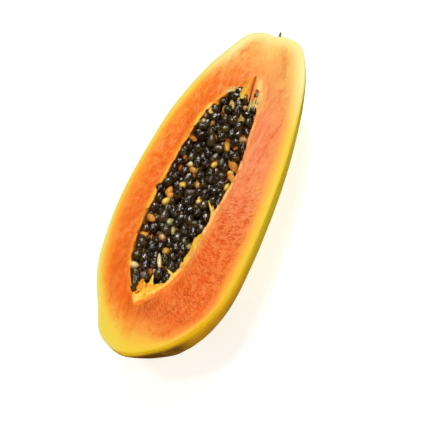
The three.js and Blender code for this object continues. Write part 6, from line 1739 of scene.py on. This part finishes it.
# torn tissue between the seeds; some of it still hangs on the +Y wall
bag = Bag()
for k, (outline, z, tone, mat, attach) in enumerate([
        ([(-40.6, 54.0), (-38, 53.2), (-33, 51.6), (-29, 50.2), (-27.4, 48.2), (-30, 46.6), (-34, 47.4), (-38, 46.4), (-41.0, 47.5)], -1.0, 0.46, 3, 1.0),
        ([(-35.4, 34.6), (-32.6, 34.0), (-30.4, 29.6), (-28.2, 25.8), (-29.6, 23.6), (-33.2, 26.6), (-35.0, 30.2)], -2.6, 0.46, 3, -3),
        ([(-34.6, 20.4), (-31.0, 19.6), (-27.8, 16.6), (-24.6, 13.8), (-26.6, 11.4), (-31.4, 13.2), (-34.6, 16.4)], -3.2, 0.32, 3, -3),
        ([(-33.0, 91.0), (-31.2, 90.0), (-28.4, 85.0), (-25.8, 79.4), (-27.4, 78.0), (-31.0, 82.0), (-34.0, 83.6)], -0.8, 0.74, 4, 1.0),
        ([(-32.8, 97.0), (-27.0, 94.6), (-23.6, 91.6), (-23.2, 88.8), (-26.4, 88.6), (-30.5, 90.0), (-34.5, 91.4)], -0.6, 0.36, 0, 2.4),
        ([(-37.8, 70.6), (-36.4, 70.0), (-32.4, 66.4), (-31.8, 63.2), (-35.0, 62.4), (-38.6, 63.0)], -0.9, 0.66, 2, 1.0),
        ([(-13.0, 99.6), (-9.2, 98.6), (-6.8, 93.4), (-8.2, 89.4), (-11.2, 91.6), (-14.0, 95.4)], -2.0, 0.62, 2, -3),
        ([(-18.0, 92.0), (-13.6, 93.6), (-12.0, 88.4), (-14.8, 84.6), (-18.4, 88.0)], -2.4, 0.50, 2, -3),
        ([(1.0, 90.0), (5.0, 92.0), (7.6, 86.4), (6.6, 79.6), (3.6, 77.4), (0.8, 83.0)], -2.4, 0.52, 2, -3),
        ([(-9.8, 108.6), (-6.2, 107.4), (-5.4, 102.6), (-9.0, 101.6), (-12.0, 105.0)], -1.3, 0.66, 2, -3),
        ([(8.6, 44.0), (14.6, 42.0), (24.6, 38.6), (24.6, 33.4), (14.0, 36.0), (9.0, 39.6)], -1.7, 0.52, 3, 1.2),
        ([(12.6, 31.6), (17.6, 32.6), (24.6, 29.6), (24.0, 23.2), (14.8, 26.2)], -1.4, 0.62, 3, 1.2),
        ([(-25.0, 23.4), (-20.4, 22.4), (-15.4, 17.6), (-13.0, 12.6), (-17.6, 13.6), (-22.6, 17.4)], -2.9, 0.42, 3, -3),
        ([(-26.0, -51.2), (-20.0, -50.0), (-16.0, -55.0), (-19.6, -58.8), (-24.8, -56.8)], -3.2, 0.30, 3, -3),
        ([(-2.0, 64.0), (2.6, 62.6), (5.4, 52.6), (1.6, 47.6), (-1.4, 54.0)], -3.2, 0.34, 3, -3),
        ([(-6.2, 37.6), (-1.8, 38.6), (0.4, 33.0), (-2.0, 28.6), (-6.0, 31.6)], -3.0, 0.36, 3, -3),
        ([(7.8, 73.0), (12.6, 72.4), (19.8, 68.4), (19.2, 64.6), (12.6, 67.0), (8.4, 69.0)], -2.8, 0.40, 3, -3),
        ([(-17.6, 86.6), (-13.6, 86.8), (-12.0, 82.6), (-15.0, 80.0), (-18.2, 82.8)], -3.0, 0.24, 3, -3),
        ([(-28.6, 84.6), (-25.4, 85.4), (-23.4, 81.0), (-26.0, 78.0), (-29.4, 80.8)], -2.2, 0.80, 4, -3),
        ([(-24.0, 72.8), (-20.4, 74.0), (-18.6, 69.4), (-21.6, 66.8)], -3.0, 0.42, 2, -3),
        ([(-3.6, 82.6), (0.2, 84.4), (2.2, 79.0), (-1.0, 76.2)], -3.0, 0.50, 2, -3),
        ([(-12.6, 66.4), (-8.6, 67.6), (-7.2, 62.4), (-10.8, 60.4)], -3.4, 0.30, 2, -3),
        ([(6.6, 60.0), (10.6, 61.6), (12.6, 56.4), (9.0, 54.2)], -3.2, 0.46, 3, -3),
        ([(-20.2, -88.2), (-16.0, -87.0), (-13.8, -91.2), (-16.6, -95.0), (-20.6, -92.8)], -2.6, 0.36, 3, -3)]):
    patch(bag, outline, (z, tone), [], mat, 0.42, 1.2, 0.9, (1.0, 0.7), 1.0 if attach < 0 else 0.5, 400 + k, attach, 0.2, 1.0, 1.0)
place(bag.build("torn_tissue", TISSUE), "fibre")

# loose fibres between the seeds
bag = Bag()
for k in range(260):
    q = rng.random()
    s = -100 + 205 * q
    lo = np.interp(s, [-110, -60, 0, 60, 105], [-26, -42, -42, -36, -12])
    hi = np.interp(s, [-110, -60, 0, 60, 105], [-14, 8, 15, 18, 8])
    t = lo + (hi - lo) * rng.random()
    ang = rng.random() * math.pi
    l = 3 + 4 * rng.random()
    dt, ds = math.cos(ang) * l, math.sin(ang) * l
    z = -4.6 - 2.6 * rng.random()
    strand(bag, [(t - dt, s - ds, z - 2), (t + rng.normal(0, 0.8), s + rng.normal(0, 0.8), z), (t + dt, s + ds, z - 2)], [0.5, 1.5, 0.5], 0.7, 9, 6, 0.25,
           mat=int(rng.choice([0, 0, 1, 1, 2])), seed=100 + k)
place(bag.build("loose_fibres", [FIBRE["amber"], FIBRE["brown"], FIBRE["yellow"]]), "fibre")


# ---------------------------------------------------------------- stalk remnant
bag = Bag()
base = np.array([132.2, -4.4, CUT - 2.6])
ax = unit([math.cos(math.radians(12)), 0.0, math.sin(math.radians(12))])
path = curve([base, base + ax * 1.6 + [0, -0.1, 0.1], base + ax * 3.2 + [0, 0.15, 0.15], base + ax * 4.6 + [0, 0.3, 0.5]], 16)
V, F = tube(path, np.interp(np.linspace(0, 1, 16), [0, 0.25, 0.6, 0.85, 1], [1.35, 1.25, 0.9, 0.55, 0.28]), 14, 81, 0.22, 0.75)
bag.add(V, F, 0)
for k in range(4):
    d = rng.normal(0, 0.55, 3)
    p = curve([base + ax * 0.6 + d * 0.8, base + ax * 2.2 + d * 1.2, base + ax * (3.0 + 0.9 * rng.random()) + d * 1.7], 8)
    V, F = tube(p, np.linspace(0.34, 0.10, 8), 6, 90 + k, 0.2)
    bag.add(V, F, 0)
place(bag.build("stalk_sliver", [STALK]), "stalk", "stalk_remnant")


# ---------------------------------------------------------------- floor, light, camera
def floor_material():
    m = Nodes("pale_floor")
    n = m.noise(3.0, 3.0, 0.5)
    col = m.mix(m.span(n, 0.3, 0.7), rgb(247, 247, 246), rgb(250, 250, 250))
    return m.finish(Base_Color=col, Roughness=0.9, Specular_IOR_Level=0.2, Emission_Color=(1, 1, 1, 1), Emission_Strength=0.58)


me = bpy.data.meshes.new("floor")
me.from_pydata([(-3, -3, 0), (3, -3, 0), (3, 3, 0), (-3, 3, 0)], [], [(0, 1, 2, 3)])
floor = bpy.data.objects.new("floor", me)
me.materials.append(floor_material())
bpy.context.scene.collection.objects.link(floor)
floor.visible_glossy = False

scene = bpy.context.scene
scene.view_settings.view_transform = "Standard"
scene.view_settings.look = "None"
world = bpy.data.worlds.new("studio")
world.use_nodes = True
world.node_tree.nodes["Background"].inputs[0].default_value = (1.0, 1.0, 1.0, 1)
world.node_tree.nodes["Background"].inputs[1].default_value = 0.22
world.cycles_visibility.glossy = False
scene.world = world

RIGHT, UP, VIEW = Vector(VIEW_RIGHT), Vector(VIEW_UP), Vector(VIEW_V)
anchor = Vector((VIEW_ORIGIN[0], VIEW_ORIGIN[1], CUT)) * MM
target = anchor + RIGHT * 0.00828 - UP * 0.01311


def softbox(name, where, size, power, tint=(1, 1, 1)):
    d = bpy.data.lights.new(name, "AREA")
    d.shape = "RECTANGLE"
    d.size, d.size_y = size
    d.energy = power
    d.color = tint
    o = bpy.data.objects.new(name, d)
    bpy.context.scene.collection.objects.link(o)
    o.location = where
    o.rotation_euler = (target - Vector(where)).to_track_quat("-Z", "Y").to_euler()
    return o


softbox("key", target + (VIEW * 0.52 + UP * 0.84 - RIGHT * 0.16) * 3.2, (1.2, 1.2), 65.0)
softbox("spark", target + (VIEW * 0.80 - RIGHT * 0.52 + UP * 0.30) * 2.8, (0.34, 0.34), 9.0)
softbox("second_spark", target + (VIEW * 0.84 + RIGHT * 0.50 + UP * 0.22) * 2.8, (0.24, 0.24), 5.5)
softbox("low_fill", target + Vector((-0.42, -0.80, 0.42)) * 2.5, (2.0, 1.0), 13.0).visible_glossy = False
softbox("side_fill", target + Vector((-0.35, 0.85, 0.40)) * 2.5, (2.0, 1.0), 5.0).visible_glossy = False

cam_data = bpy.data.cameras.new("camera")
cam_data.sensor_fit = "HORIZONTAL"
cam_data.sensor_width = 36.0
cam_data.lens = 36.0 * 2000.0 / (430 * VIEW_SCALE)
cam_data.clip_end = 20.0
cam = bpy.data.objects.new("camera", cam_data)
scene.collection.objects.link(cam)
rot = Matrix((RIGHT, UP, VIEW)).transposed().to_4x4()
cam.matrix_world = Matrix.Translation(target + VIEW * 2.0) @ rot
scene.camera = cam
